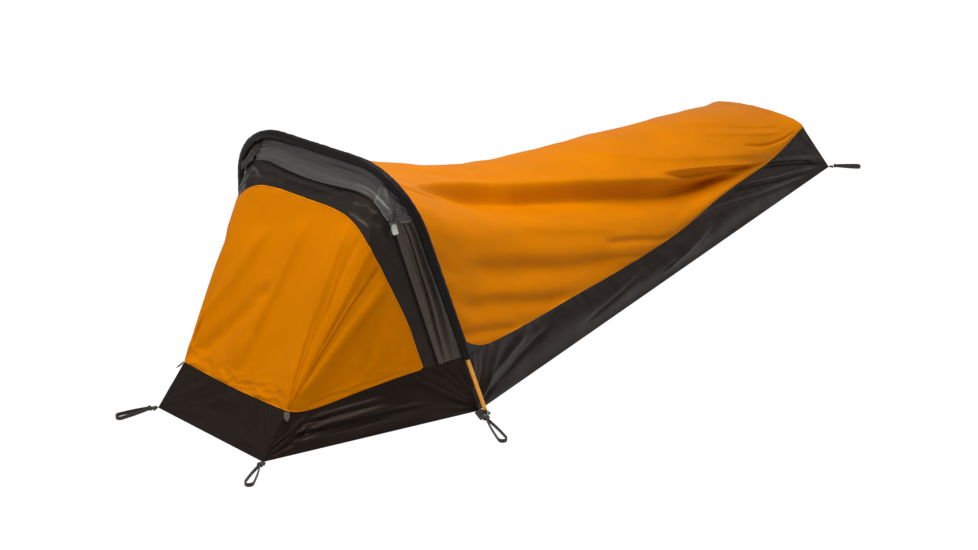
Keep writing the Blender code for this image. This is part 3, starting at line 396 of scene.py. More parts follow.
TOE_WAY = float(size_of(TOE_TOP - HOOP_TOP))


def gusset_edge(v):
    back = np.maximum(1 - v * TOE_WAY / GUSSET_LENGTH, 0.0)
    return (1 - np.sqrt(1 - back * back)) * GUSSET_HEIGHT / (2 * SEAM_HALF)


def canopy(u, v):
    """The long rear canopy: u from the near tub seam over the ridge, v from hoop to foot."""
    u, v = np.broadcast_arrays(u, v)
    arch, foot_angle, low, high = seam(2 * u), math.pi * u, seam(0.0), seam(1.0)
    keep = 1 - ease(v / HOOP_SHAPE_SHARE)
    wide = mix(np.cos(foot_angle), arch[..., 0] / low[0], keep)
    tall = mix(np.sin(foot_angle), (arch[..., 2] - low[2]) / (high[2] - low[2]), keep)
    edge = rear_edge(v)
    ridge = mix(high[2], TOE_TOP[2] + FOOT_CROWN, through(RIDGE_PROFILE, v))
    y = mix(edge[..., 1], mix(high[1], TOE_TOP[1], v), tall)
    return np.stack((edge[..., 0] * wide, y, mix(edge[..., 2], ridge, tall)), -1)


def wall_surface(low_start, low_end, high_rail, bulge):
    """A tub wall between its foot on the groundsheet and its top seam, bellied outwards."""
    base = np.array((0, 0, FLOOR_THICKNESS + GAP / 2))
    def surface(u, w):
        rise = between(between(low_start, low_end, u) + base, high_rail(u), w)
        return rise + np.array(bulge) * (arc(w) ** 2 * arc(u))[..., None]
    return surface


def inside_of(points):
    y = np.clip(points[..., 1], HOOP_Y - LENGTH / 2, LENGTH * 0.3)
    return np.stack(np.broadcast_arrays(0.0, y, 0.05), -1)


def normals(surface, u, w):
    nudge = 1e-3
    u0, u1 = np.maximum(u - nudge, 0), np.minimum(u + nudge, 1)
    w0, w1 = np.maximum(w - nudge, 0), np.minimum(w + nudge, 1)
    normal = unit(np.cross(surface(u1, w) - surface(u0, w), surface(u, w1) - surface(u, w0)))
    here = surface(u, w)
    facing = np.sign(dot(normal, here - inside_of(here)))
    return normal * np.where(facing == 0, 1, facing)[..., None]


# Sizes and colours that a user would change

def colour_property(name, description, colour):
    return bpy.props.FloatVectorProperty(name=name, description=description, subtype="COLOR", size=3,
                                         min=0, max=1, default=colour)


class BivyColours(bpy.types.PropertyGroup):
    orange: colour_property("Orange cloth", "Canopy and door leaf", (0.635, 0.186, 0.0))
    black: colour_property("Tub cloth", "Coated cloth of the bathtub floor", (0.0190, 0.0138, 0.0106))
    band: colour_property("Band cloth", "Door border and pole sleeve", (0.031, 0.025, 0.023))
    grey: colour_property("Brow cloth", "Hood band over the door", (0.092, 0.083, 0.075))
    side: colour_property("Side panel cloth", "Pleated panels beside the door", (0.060, 0.047, 0.038))
    webbing: colour_property("Webbing", "Peg tabs, loops and corner tabs", (0.045, 0.034, 0.028))
    pole: colour_property("Pole", "Anodised pole sections", (1.0, 0.36, 0.012))
    pull: colour_property("Zip pull", "Moulded grip of the zip pulls", (0.76, 0.78, 0.72))
    floor: colour_property("Floor", "Studio floor", (0.60, 0.60, 0.60))


class BivySizes(bpy.types.PropertyGroup):
    cloth: bpy.props.FloatProperty(name="Cloth thickness", description="Thickness of the sewn cloth",
                                   default=0.0005, unit="LENGTH")
    wrinkles: bpy.props.FloatProperty(name="Wrinkles", description="Strength of the small wrinkles",
                                      default=1.0, min=0, max=2)
    weave: bpy.props.FloatProperty(name="Weave pitch", description="Distance between threads",
                                   default=0.0011, unit="LENGTH")
    stitch: bpy.props.FloatProperty(name="Stitch length", description="Length of one stitch",
                                    default=0.004, unit="LENGTH")
    key: bpy.props.FloatProperty(name="Overhead light", description="Power of the overhead soft light",
                                 default=108.0)
    sky: bpy.props.FloatProperty(name="Surround light", description="Strength of the even surround",
                                 default=0.31)


def colours():
    return bpy.context.scene.bivy_colours


def sizes():
    return bpy.context.scene.bivy_sizes


# Materials

class Nodes:
    """A material's node tree, with short words for the nodes that it is wired from."""

    def __init__(self, name):
        self.material = bpy.data.materials.new(name)
        self.material.use_nodes = True
        self.tree = self.material.node_tree
        self.shader = self.tree.nodes["Principled BSDF"]

    def plug(self, socket, value):
        if isinstance(value, bpy.types.NodeSocket):
            self.tree.links.new(value, socket)
        else:
            socket.default_value = value

    def wire(self, node, **inputs):
        """Plugs a node's inputs, whose names have _ in place of spaces."""
        for key, value in inputs.items():
            self.plug(node.inputs[key.replace("_", " ")], value)
        return node

    def add(self, kind, **inputs):
        return self.wire(self.tree.nodes.new(kind), **inputs)

    def fill(self, node, *values):
        """Plugs a node's first inputs in their order and gives its first output."""
        for socket, value in zip(node.inputs, values):
            self.plug(socket, value)
        return node.outputs[0]

    def sum(self, operation, a, b=0.0, c=0.0):
        node = self.add("ShaderNodeMath")
        node.operation = operation
        return self.fill(node, a, b, c)

    def ramp(self, value, low, high, to_low=0.0, to_high=1.0):
        return self.fill(self.add("ShaderNodeMapRange"), value, low, high, to_low, to_high)

    def blend(self, share, a, b):
        node = self.add("ShaderNodeMix")
        node.data_type = "RGBA"
        for key, value in ((0, share), (6, a), (7, b)):
            if key and not isinstance(value, bpy.types.NodeSocket):
                value = (*value[:3], 1)
            self.plug(node.inputs[key], value)
        return node.outputs[2]

    def mottled(self, colour, value, low, high):
        """A colour between two strengths of itself, by a noise's middle range."""
        return self.blend(self.ramp(value, 0.3, 0.7), tinted(colour, low), tinted(colour, high))

    def split(self, vector):
        return self.add("ShaderNodeSeparateXYZ", Vector=vector).outputs

    def uv(self):
        return self.add("ShaderNodeUVMap").outputs[0]

    def attribute(self, name):
        node = self.add("ShaderNodeAttribute")
        node.attribute_name = name
        return node.outputs["Fac"]

    def noise(self, where, scale, detail=2.0, roughness=0.5):
        return self.add("ShaderNodeTexNoise", Vector=where, Scale=scale, Detail=detail,
                        Roughness=roughness).outputs["Fac"]

    def waves(self, value, pitch):
        return self.sum("SINE", self.sum("MULTIPLY", value, 2 * math.pi / pitch))

    def bump(self, height, distance):
        return self.add("ShaderNodeBump", Height=height, Distance=distance, Strength=1.0).outputs[0]


def tinted(colour, factor):
    return tuple(min(c * factor, 1.0) for c in colour)


# Cloth: depth of the weave, its mottle, and the shade and strength of its threads
WEAVE_DEPTH, MOTTLE, THREAD_SHADE, THREAD_SHOW = 0.00008, 0.06, 0.6, 0.10
# Where the painted highlight along a hem ends, a stitch's half width, the ends of a stitch as shares of its
# length, its rise
HEM_HIGHLIGHT_EDGE, STITCH_EDGE, STITCH_ENDS, STITCH_RISE = (0.0012, 0.0024), (0.0003, 0.0006), (0.10, 0.16), 3.0
RIB_PITCH, SLANT_PITCH, RIB_DEPTH = 0.0016, 0.0022, 0.0002
GRAIN, GRAIN_DEPTH, DARK_END = 400.0, 0.00003, (0.03, 0.03, 0.03)


def cloth_material(name, colour, roughness, sheen=0.0, gloss=0.3, sheen_tint=(1, 1, 1), gloss_tint=(1, 1, 1),
                   thread=None, stitch_row=0.0035, zigzag=0.0, hem=1.0):
    """Woven cloth: threads across the UV map, a soft mottle, a row of stitches along its seams, and a painted
    highlight along them when hem is above 1.
    """
    n = Nodes(name)
    uv = n.uv()
    parts = n.split(uv)
    threads = n.sum("MULTIPLY", n.waves(parts[0], sizes().weave), n.waves(parts[1], sizes().weave))
    large, fine = n.noise(uv, 7.0, 3.0), n.noise(uv, 260.0, 3.0, 0.6)
    shade = n.mottled(colour, large, 1 - MOTTLE, 1 + MOTTLE)
    shade = n.blend(n.ramp(threads, -1, 1, 0.0, THREAD_SHOW), shade, tinted(colour, THREAD_SHADE))
    height = n.sum("MULTIPLY_ADD", fine, 0.6, n.sum("MULTIPLY", threads, 0.5))
    off, run = n.attribute("seam_off"), n.attribute("seam_run")
    pitch = sizes().stitch
    # Painted highlight: within a hem's edge of the seam the colour is tinted by hem, lighter where light
    # would catch the rolled hem
    if hem != 1.0:
        shade = n.blend(n.ramp(off, *HEM_HIGHLIGHT_EDGE, 1.0, 0.0), shade, tinted(colour, hem))
    dash = n.ramp(n.sum("PINGPONG", run, pitch / 2), pitch * STITCH_ENDS[0], pitch * STITCH_ENDS[1])
    swing = n.sum("MULTIPLY_ADD", n.sum("PINGPONG", run, pitch), zigzag / pitch, stitch_row)
    line = n.ramp(n.sum("ABSOLUTE", n.sum("SUBTRACT", off, swing)), *STITCH_EDGE, 1.0, 0.0)
    shade = n.blend(n.sum("MULTIPLY", line, dash), shade, thread or tinted(colour, 0.55))
    height = n.sum("MULTIPLY_ADD", line, n.ramp(dash, 0, 1, -STITCH_RISE, STITCH_RISE), height)
    rough = n.ramp(large, 0.25, 0.75, roughness - 0.05, roughness + 0.06)
    n.wire(n.shader, Base_Color=shade, Roughness=rough, Sheen_Weight=sheen, Sheen_Roughness=0.4,
           Sheen_Tint=(*sheen_tint, 1), Specular_IOR_Level=gloss, Specular_Tint=(*gloss_tint, 1),
           Normal=n.bump(height, WEAVE_DEPTH))
    return n.material


def webbing_material(name, colour):
    """Woven strap: ribs across its length and a slanting weave, on a UV map in metres."""
    n = Nodes(name)
    parts = n.split(n.uv())
    ribs = n.waves(parts[0], RIB_PITCH)
    slant = n.waves(n.sum("ADD", parts[1], parts[0]), SLANT_PITCH)
    large = n.noise(n.uv(), 60.0, 3.0)
    shade = n.blend(n.ramp(ribs, -1, 1, 0.0, 0.35), n.mottled(colour, large, 0.85, 1.2), tinted(colour, 0.5))
    n.wire(n.shader, Base_Color=shade, Roughness=n.ramp(large, 0.3, 0.7, 0.62, 0.78), Sheen_Weight=0.15,
           Specular_IOR_Level=0.3, Normal=n.bump(n.sum("MULTIPLY_ADD", slant, 0.4, ribs), RIB_DEPTH))
    return n.material


def plain_material(name, colour, roughness, metallic=0.0, dark_from=None):
    """Moulded plastic or metal: a fine grain in colour, gloss and surface; dark past a place in Y."""
    n = Nodes(name)
    where = n.add("ShaderNodeTexCoord").outputs["Object"]
    fine, large = n.noise(where, GRAIN, 3.0), n.noise(where, 30.0, 2.0)
    shade = n.mottled(colour, large, 0.92, 1.06)
    if dark_from:
        shade = n.blend(n.ramp(n.split(where)[1], dark_from, dark_from + 0.0003), shade, DARK_END)
    n.wire(n.shader, Base_Color=shade, Roughness=n.ramp(fine, 0.3, 0.7, roughness - 0.06, roughness + 0.08),
           Metallic=metallic, Normal=n.bump(fine, GRAIN_DEPTH))
    return n.material


def finishes():
    """Every cloth and fitting finish, made once."""
    c, cool, look = colours(), (0.7, 0.82, 1.0), {}
    for key, name, make, colour, given in (
            # The orange cloth's hem=1.35 paints a highlight along its seams
            ("orange", "canopy_nylon", cloth_material, c.orange,
             dict(roughness=0.5, gloss=0.03, gloss_tint=(1.0, 0.6, 0.1), hem=1.35)),
            ("black", "tub_nylon", cloth_material, tinted(c.black, 0.50),
             dict(roughness=0.36, gloss=0.16, gloss_tint=(1.0, 0.68, 0.54))),
            ("band", "border_nylon", cloth_material, tinted(c.band, 0.38),
             dict(roughness=0.38, gloss=0.26, gloss_tint=(1.0, 0.8, 0.65))),
            ("sleeve", "sleeve_nylon", cloth_material, tinted(c.band, 0.28),
             dict(roughness=0.42, sheen=0.015, gloss=0.10, sheen_tint=cool)),
            ("gusset", "gusset_nylon", cloth_material, tinted(c.band, 0.6),
             dict(roughness=0.5, sheen=0.05, gloss=0.15, sheen_tint=cool)),
            ("grey", "brow_nylon", cloth_material, tinted(c.grey, 0.66),
             dict(roughness=0.36, sheen=0.01, gloss=0.30)),
            ("flap", "flap_nylon", cloth_material, tinted(c.grey, 0.78),
             dict(roughness=0.38, sheen=0.02, gloss=0.40, thread=(0.40, 0.38, 0.35), stitch_row=0.0022,
                  zigzag=0.0016)),
            # The far brow end: the same grey cloth tinted to 0.22, a painted shade for the shadow on the far
            # side
            ("flap_far_painted_shade", "far_flap_nylon", cloth_material, tinted(c.grey, 0.22),
             dict(roughness=0.36, sheen=0.01, gloss=0.25)),
            ("side", "side_nylon", cloth_material, tinted(c.side, 1.35),
             dict(roughness=0.40, sheen=0.01, gloss=0.25)),
            ("tape", "zip_tape_weave", cloth_material, c.black, dict(roughness=0.75, sheen=0.02, gloss=0.1)),
            ("webbing", "webbing_weave", webbing_material, tinted(c.webbing, 0.75), {}),
            ("gear", "corner_webbing", webbing_material, tinted(c.webbing, 2.5), {}),
            ("pole", "pole_anodised", plain_material, c.pole, dict(roughness=0.32, metallic=0.2)),
            ("steel", "bright_metal", plain_material, (0.45, 0.45, 0.44), dict(roughness=0.3, metallic=1.0)),
            ("dark", "dark_metal", plain_material, (0.05, 0.05, 0.05), dict(roughness=0.35, metallic=0.6)),
            ("pull", "pull_grip", plain_material, c.pull, dict(roughness=0.45, dark_from=0.0335)),
            ("tip", "tip_moulding", plain_material, (0.03, 0.03, 0.03), dict(roughness=0.4)),
            ("elastic", "elastic_braid", plain_material, (0.6, 0.6, 0.57), dict(roughness=0.8))):
        look[key] = bpy.data.materials.get(name) or make(name, colour, **given)
    return look


# Cloth and straps

SHARP_ANGLE = math.radians(50)
# The least side that a declared sheet may have, and how full its declared box is at least
LEAST_SIDE, LEAST_FILL = 0.0101, 0.31


def mesh_object(name, points, faces, material, uv=None, fields=None):
    mesh = bpy.data.meshes.new(name)
    mesh.from_pydata(points.tolist(), [], faces.tolist() if isinstance(faces, np.ndarray) else faces)
    mesh.update()
    mesh.materials.append(material)
    corners = np.empty(len(mesh.loops), int)
    mesh.loops.foreach_get("vertex_index", corners)
    if uv is not None:
        mesh.uv_layers.new(name="Cloth").data.foreach_set("uv", uv[corners].ravel())
    for key, values in (fields or {}).items():
        mesh.attributes.new(key, "FLOAT", "POINT").data.foreach_set("value", values)
    mesh.shade_smooth()
    mesh.set_sharp_from_angle(angle=SHARP_ANGLE)
    piece = bpy.data.objects.new(name, mesh)
    bpy.context.scene.collection.objects.link(piece)
    return piece


def run_along(points, axis):
    """Distance along the rows or columns of a grid of points, from the grid's first line."""
    steps = size_of(np.diff(points, axis=axis))
    return np.insert(np.cumsum(steps, axis=axis), 0, 0.0, axis=axis)


def grid_area(grid):
    return float(size_of(np.cross(grid[1:, 1:] - grid[:-1, :-1], grid[1:, :-1] - grid[:-1, 1:])).sum() / 2)


def edge_distances(along, across):
    return along, along[-1:] - along, across, across[:, -1:] - across


def seam_fade(off, reach):
    return 1 - np.exp(-off / reach)


def sheet_uv(along, across):
    """The UV places of a sheet's two skins."""
    return np.tile(np.stack((along, across), -1).reshape(-1, 2), (2, 1))


def seam_fields(off, run):
    """How far each point of a sheet's two skins is off the seam, and along it."""
    return {"seam_off": np.tile(off.ravel(), 2), "seam_run": np.tile(run.ravel(), 2)}


def skins(outer, normal, thickness):
    """Points and faces of a closed thin sheet, its inner skin a thickness behind the outer one."""
    rows, columns = outer.shape[:2]
    index = np.arange(rows * columns).reshape(rows, columns)
    quads = np.stack((index[:-1, :-1], index[1:, :-1], index[1:, 1:], index[:-1, 1:]), -1).reshape(-1, 4)
    row, column = rows // 2, columns // 2
    a, b, d = outer[row, column], outer[row + 1, column], outer[row, column + 1]
    if np.dot(np.cross(b - a, d - a), normal[row, column]) < 0:
        quads = quads[:, ::-1]
    inner = outer - normal * thickness
    count = rows * columns
    rim = np.concatenate((index[:, 0], index[-1, 1:], index[-2::-1, -1], index[0, -2:0:-1]))
    after = np.roll(rim, -1)
    sides = np.stack((rim, after, after + count, rim + count), -1)
    first = quads[(quads == rim[0]).any(1) & (quads == rim[1]).any(1)][0].tolist()
    here = first.index(int(rim[0]))
    if first[(here + 1) % 4] == int(rim[1]):
        sides = sides[:, ::-1]
    faces = np.concatenate((quads, quads[:, ::-1] + count, sides))
    return np.concatenate((outer.reshape(-1, 3), inner.reshape(-1, 3))), faces


def sew(name, surface, counts, material, relief=None, seams="0123", replaces=(),
        thickness=None, door=False, plain=None):
    """A panel of cloth: its surface and relief as a closed thin sheet."""
    lines = [np.linspace(0, 1, c + 1) if isinstance(c, int) else c for c in counts]
    u, w = np.meshgrid(*lines, indexing="ij")
    base, normal = surface(u, w), normals(plain or surface, u, w)
    along, across = run_along(base, 0), run_along(base, 1)
    height = relief(u, w, along, across) if relief is not None else 0.0
    outer = base + normal * np.broadcast_to(height, u.shape)[..., None]
    points, faces = skins(outer, normal, thickness or sizes().cloth)
    off, run = np.full(u.shape, 1.0), np.zeros(u.shape)
    places = (across, across, along, along)
    for key, distance, place in zip("0123", edge_distances(along, across), places):
        if key in seams:
            run = np.where(distance < off, place, run)
            off = np.minimum(distance, off)
    piece = mesh_object(name, points, faces, material, sheet_uv(along - along[-1:] / 2, across),
                        seam_fields(off, run))
    wide, area = max(float(run_along(outer, 1)[:, -1].max()), LEAST_SIDE), grid_area(outer)
    long = min(float(run_along(outer, 0)[-1].max()), area / (LEAST_FILL * wide))
    settle(piece, replaces, door=door)
    return piece


FRONT = unit(np.cross(HEAD_TOP * (-1, 1, 1) - HEAD_TOP, seam(1.0) - HEAD_TOP))


def settle(piece, replaces=(), body="shell", door=False):
    """What a finished piece stands for and moves with."""
    if replaces:
        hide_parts(*replaces)
    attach(piece, "door" if door else body)
    if door:
        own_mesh(piece)


# The camera that was fitted to the photo, and the studio's light
FOCAL_PIXELS, PHOTO_WIDTH, SENSOR_WIDTH, FAR_CLIP = 1501.348, 978, 36.0, 200
CAMERA_TURN, CAMERA_RISE, CAMERA_DISTANCE = math.radians(40.490), math.radians(25.119), 3.584
CAMERA_AIM = Vector((0.210, 0.704 - LENGTH / 2, 0.2))
FLOOR_SIZE, FLOOR_DROP, FLOOR_GLOW, FLOOR_GLOW_SHARE = 60, 0.0004, 1.12, 0.86
# Soft lamps: name, place, aim, width and share of the overhead light's power
LAMPS = (("overhead", (0.1, -0.6, 3.3), (0, 0, 0.2), 1.8, 1.0),
         ("front_fill", (-1.2, -4.0, 1.9), (0, -0.6, 0.3), 2.2, 0.27),
         ("side_fill", (3.9, -1.6, 2.6), (0, 0, 0.2), 2.2, 0.10),
         ("rear_fill", (1.2, 3.4, 3.2), (0, 0.9, 0.2), 1.8, 0.20))
SIDES = ((1.0, "near"), (-1.0, "far"))


def aimed(name, data, place, ahead):
    """A camera or lamp at a place, looking ahead."""
    holder = bpy.data.objects.new(name, data)
    bpy.context.scene.collection.objects.link(holder)
    holder.location, holder.rotation_mode = place, "QUATERNION"
    holder.rotation_quaternion = ahead.to_track_quat("-Z", "Y")
    return holder


# Operators, one for each group of pieces

class BivyMaker:
    bl_options = {"REGISTER", "UNDO"}


class BIVY_OT_stage(BivyMaker, bpy.types.Operator):
    """Sets up the camera, floor, surround and soft lamps"""
    bl_idname = "bivy.stage"
    bl_label = "Studio stage"

    def execute(self, context):
        scene = context.scene
        scene.view_settings.view_transform = "Standard"
        camera = bpy.data.cameras.new("camera")
        camera.lens, camera.sensor_width = FOCAL_PIXELS / PHOTO_WIDTH * SENSOR_WIDTH, SENSOR_WIDTH
        camera.clip_end = FAR_CLIP
        level, down = math.cos(CAMERA_RISE), math.sin(CAMERA_RISE)
        ahead = Vector((-math.sin(CAMERA_TURN) * level, math.cos(CAMERA_TURN) * level, -down))
        scene.camera = aimed("camera", camera, CAMERA_AIM - ahead * CAMERA_DISTANCE, ahead)
        self.floor()
        self.surround(scene)
        for name, place, aim, width, share in LAMPS:
            lamp = bpy.data.lights.new(name, "AREA")
            lamp.shape, lamp.size, lamp.energy = "SQUARE", width, sizes().key * share
            aimed(name, lamp, place, Vector(aim) - Vector(place))
        return {"FINISHED"}

    def floor(self):
        bpy.ops.object.select_all(action="DESELECT")
        bpy.ops.mesh.primitive_plane_add(size=FLOOR_SIZE, location=(0, 0, -FLOOR_DROP))
        floor = bpy.context.active_object
        floor.name = "studio_floor"
        bpy.ops.object.transform_apply(location=True, rotation=True, scale=True)
        n = Nodes("studio_floor")
        n.wire(n.shader, Base_Color=(*colours().floor, 1), Roughness=0.9, Specular_IOR_Level=0.0)
        glow = n.add("ShaderNodeEmission", Color=(1, 1, 1, 1), Strength=FLOOR_GLOW)
        path = n.add("ShaderNodeLightPath").outputs
        seen = n.sum("MAXIMUM", path["Is Camera Ray"],
                     n.sum("MAXIMUM", path["Is Glossy Ray"], path["Is Transmission Ray"]))
        blend = n.fill(n.add("ShaderNodeMixShader"), n.sum("MULTIPLY", seen, FLOOR_GLOW_SHARE),
                       n.shader.outputs[0], glow.outputs[0])
        n.wire(n.tree.nodes["Material Output"], Surface=blend)
        floor.data.materials.append(n.material)
        floor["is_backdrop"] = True

    def surround(self, scene):
        world = bpy.data.worlds.new("surround")
        world.use_nodes = True
        scene.world = world
        tree = world.node_tree
        light, white = tree.nodes["Background"], tree.nodes.new("ShaderNodeBackground")
        for node in (light, white):
            node.inputs["Color"].default_value = (1, 1, 1, 1)
        light.inputs["Strength"].default_value = sizes().sky
        seen = tree.nodes.new("ShaderNodeLightPath").outputs["Is Camera Ray"]
        blend = tree.nodes.new("ShaderNodeMixShader")
        for socket, output in zip(blend.inputs, (seen, light.outputs[0], white.outputs[0])):
            tree.links.new(output, socket)
        tree.links.new(blend.outputs[0], tree.nodes["World Output"].inputs["Surface"])


# Steps: crest and valley as (share along, share across), depth, and how far the crest leans over
CANOPY_STEPS = (
    (((0.049, 0.357), (0.10, 0.402), (0.155, 0.432), (0.21, 0.440), (0.263, 0.430), (0.329, 0.398),
      (0.398, 0.356), (0.458, 0.316), (0.526, 0.266), (0.635, 0.184), (0.766, 0.066), (0.92, -0.08)),
     ((0.049, 0.349), (0.10, 0.391), (0.155, 0.413), (0.21, 0.418), (0.263, 0.400), (0.329, 0.361),
      (0.398, 0.313), (0.458, 0.269), (0.526, 0.218), (0.635, 0.135), (0.766, 0.014), (0.92, -0.135)),
     0.050, -0.06),
    (((0.56, 0.272), (0.598, 0.243), (0.664, 0.193), (0.743, 0.124), (0.854, 0.02), (0.96, -0.09)),
     ((0.56, 0.261), (0.598, 0.231), (0.664, 0.180), (0.743, 0.110), (0.854, 0.005), (0.96, -0.105)),
     0.028, 0.35),
)
# How strongly the steps and creases show again on the far flank
FAR_STEPS, FAR_FOLDS = 0.10, 0.4
# Creases: course as (share along, share across), widths of the lower and upper flank, and rise
CANOPY_FOLDS = (
    (((0.46, 0.50), (0.54, 0.39), (0.60, 0.310), (0.68, 0.235), (0.78, 0.150), (0.88, 0.06)),
     (0.018, 0.050), 0.005),
    (((0.05, 0.168), (0.10, 0.158), (0.183, 0.134), (0.263, 0.098), (0.331, 0.062), (0.40, 0.02)),
     (0.040, 0.026), -0.013),
    (((0.02, 0.090), (0.048, 0.086), (0.109, 0.075), (0.19, 0.036), (0.245, 0.013), (0.27, 0.0)),
     (0.026, 0.016), -0.009),
    (((0.20, 0.237), (0.26, 0.206), (0.31, 0.176), (0.42, 0.100)), (0.030, 0.024), -0.0035),
    (((0.36, 0.115), (0.42, 0.085), (0.454, 0.062), (0.529, 0.0), (0.55, -0.02)), (0.016, 0.012), -0.006),
    (((0.30, 0.10), (0.37, 0.055), (0.42, 0.02), (0.46, -0.01)), (0.014, 0.010), -0.004),
    (((0.0, 0.036), (0.037, 0.034), (0.077, 0.024), (0.108, 0.01), (0.13, 0.0)), (0.012, 0.008), -0.005),
    (((0.018, 0.350), (0.046, 0.358), (0.075, 0.363), (0.101, 0.367), (0.14, 0.372)), (0.008, 0.006), -0.006),
    (((0.70, 0.50), (0.76, 0.40), (0.82, 0.33), (0.90, 0.25), (0.97, 0.20)), (0.018, 0.012), -0.004),
    (((0.72, 0.36), (0.80, 0.28), (0.87, 0.22), (0.95, 0.15)), (0.014, 0.022), 0.004),
    (((0.80, 0.20), (0.86, 0.14), (0.92, 0.10), (0.98, 0.07)), (0.014, 0.010), -0.005),
)
# The door's creases: course as (share down the cloth, share of the hoop), flank widths and rise
DOOR_FOLDS = (
    (((0.10, 0.449), (0.185, 0.450), (0.429, 0.457), (0.624, 0.457), (0.95, 0.455)), (0.020, 0.030), 0.0075),
    (((0.08, 0.520), (0.184, 0.529), (0.418, 0.546), (0.621, 0.548), (0.95, 0.545)), (0.010, 0.008), -0.0045),
    (((0.20, 0.560), (0.32, 0.570), (0.45, 0.578), (0.70, 0.582)), (0.009, 0.009), -0.0028),
    (((0.12, 0.690), (0.17, 0.691), (0.335, 0.705), (0.463, 0.702), (0.60, 0.70)), (0.016, 0.016), -0.0035),
    (((0.10, 0.770), (0.238, 0.777), (0.477, 0.794), (0.754, 0.827), (1.02, 0.840)), (0.030, 0.034), 0.0080),
    (((0.14, 0.950), (0.303, 0.962), (0.522, 0.979), (0.744, 1.004), (0.98, 1.02)), (0.018, 0.045), 0.0100),
    (((0.48, 1.00), (0.601, 1.03), (0.799, 1.10), (1.02, 1.18)), (0.022, 0.030), -0.0085),
    (((0.25, 1.09), (0.60, 1.15), (0.95, 1.24)), (0.022, 0.034), 0.0080),
    (((0.30, 0.375), (0.394, 0.358), (0.575, 0.332), (0.855, 0.309)), (0.016, 0.020), -0.0045),
    (((0.30, 1.36), (0.60, 1.44), (0.95, 1.52)), (0.03, 0.03), -0.007),
)

# Wide humps: rise, then middle and reach along, and middle and reach across, as shares
CANOPY_HUMPS = ((0.018, 0.20, 0.13, 0.58, 0.11), (-0.014, 0.75, 0.11, 0.67, 0.12))
# Rows for ripples(): rise, steps to a metre (along, across; across, along), seed, and edge and reach
CANOPY_RIPPLES = ((0.0026, 6, 2, 3.2, 0, 11), (0.0019, 18, 7, 8, -5, 12),
                  (0.0016, 2, 0, 34, 0, 13, "side", 0.045), (0.0018, 30, 0, 5, 0, 14, "hoop", 0.07),
                  (0.0018, 34, 0, 4, 0, 15, "foot", 0.08))
RIDGE_CALM, RIDGE_CALM_REACH, CREASE_SWAY, STEP_FADE = 0.15, 0.12, 0.006, 0.045
HEM_ROLL, HEM_ROLL_HALF, HOOP_OVERLAP = 0.0016, 0.0017, 0.0006


class BIVY_OT_canopy(BivyMaker, bpy.types.Operator):
    """Sews the rear canopy and the gussets behind the feet of the sleeve"""
    bl_idname = "bivy.canopy"
    bl_label = "Rear canopy"

    def execute(self, context):
        look = finishes()

        def place(u, w):
            v = mix(-HOOP_OVERLAP, 1, w)
            edge = gusset_edge(np.maximum(v, 0))
            return mix(edge, 1 - edge, u), v

        def leaning(u, w):
            around, v = place(u, w)
            flank = seam_fade(np.minimum(around, 1 - around), 0.02)
            for given in CANOPY_STEPS:
                near, far = step(around, v, *given)[0], step(1 - around, v, *given)[0]
                around = around + (near - far * FAR_STEPS) * flank
            return canopy(around, v)

        def relief(u, w, along, across):
            around, v = place(u, w)
            sway = CREASE_SWAY * noise(v * 5, around * 3, 10)
            rise = folds(CANOPY_FOLDS, around + sway, v)
            rise = rise + FAR_FOLDS * folds(CANOPY_FOLDS, 1 - around - sway, v)
            rise = rise * mix(RIDGE_CALM, 1.0, ease(np.abs(around - 0.5) / RIDGE_CALM_REACH))
            near, far, hoop, foot = edge_distances(along, across)
            side = np.minimum(near, far)
            for given in CANOPY_STEPS:
                fall = step(around, v, *given)[1] + FAR_STEPS * step(1 - around, v, *given)[1]
                rise = rise + fall * ease(side / STEP_FADE)
            quiet = seam_fade(side, 0.006) * seam_fade(hoop, 0.010) * seam_fade(foot, 0.010)
            small = ripples(CANOPY_RIPPLES, along, across, side=side, hoop=hoop, foot=foot)
            for height, middle, reach, middle_round, reach_round in CANOPY_HUMPS:
                off, off_round = (v - middle) / reach, (around - middle_round) / reach_round
                rise = rise + height * np.exp(-off ** 2 - off_round ** 2)
            roll = HEM_ROLL * np.sqrt(np.clip(1 - ((hoop - HEM_ROLL) / HEM_ROLL_HALF) ** 2, 0, 1))
            return (rise + small * sizes().wrinkles) * quiet + roll

        across = np.concatenate((np.linspace(0, 0.5, 151), np.linspace(0.5, 1, 81)[1:]))
        lines = np.concatenate((np.linspace(0, 0.0022, 9), np.linspace(0.004, 1, 203)))
        sew("rear_canopy_cloth", leaning, (across, lines), look["orange"], relief,
            replaces=["rear_canopy"],
            plain=lambda u, w: canopy(*place(u, w)))
        for side, word in SIDES:
            def gusset(u, w, side=side):
                v = mix(0.0004, 0.97 * GUSSET_LENGTH / TOE_WAY, w)
                return mirrored(canopy(gusset_edge(v) * u, v), side)
            sew(f"hoop_gusset_cloth_{word}", gusset, (24, 60), look["gusset"],
                replaces=[f"hoop_gusset_{word}"], seams="13")
        return {"FINISHED"}


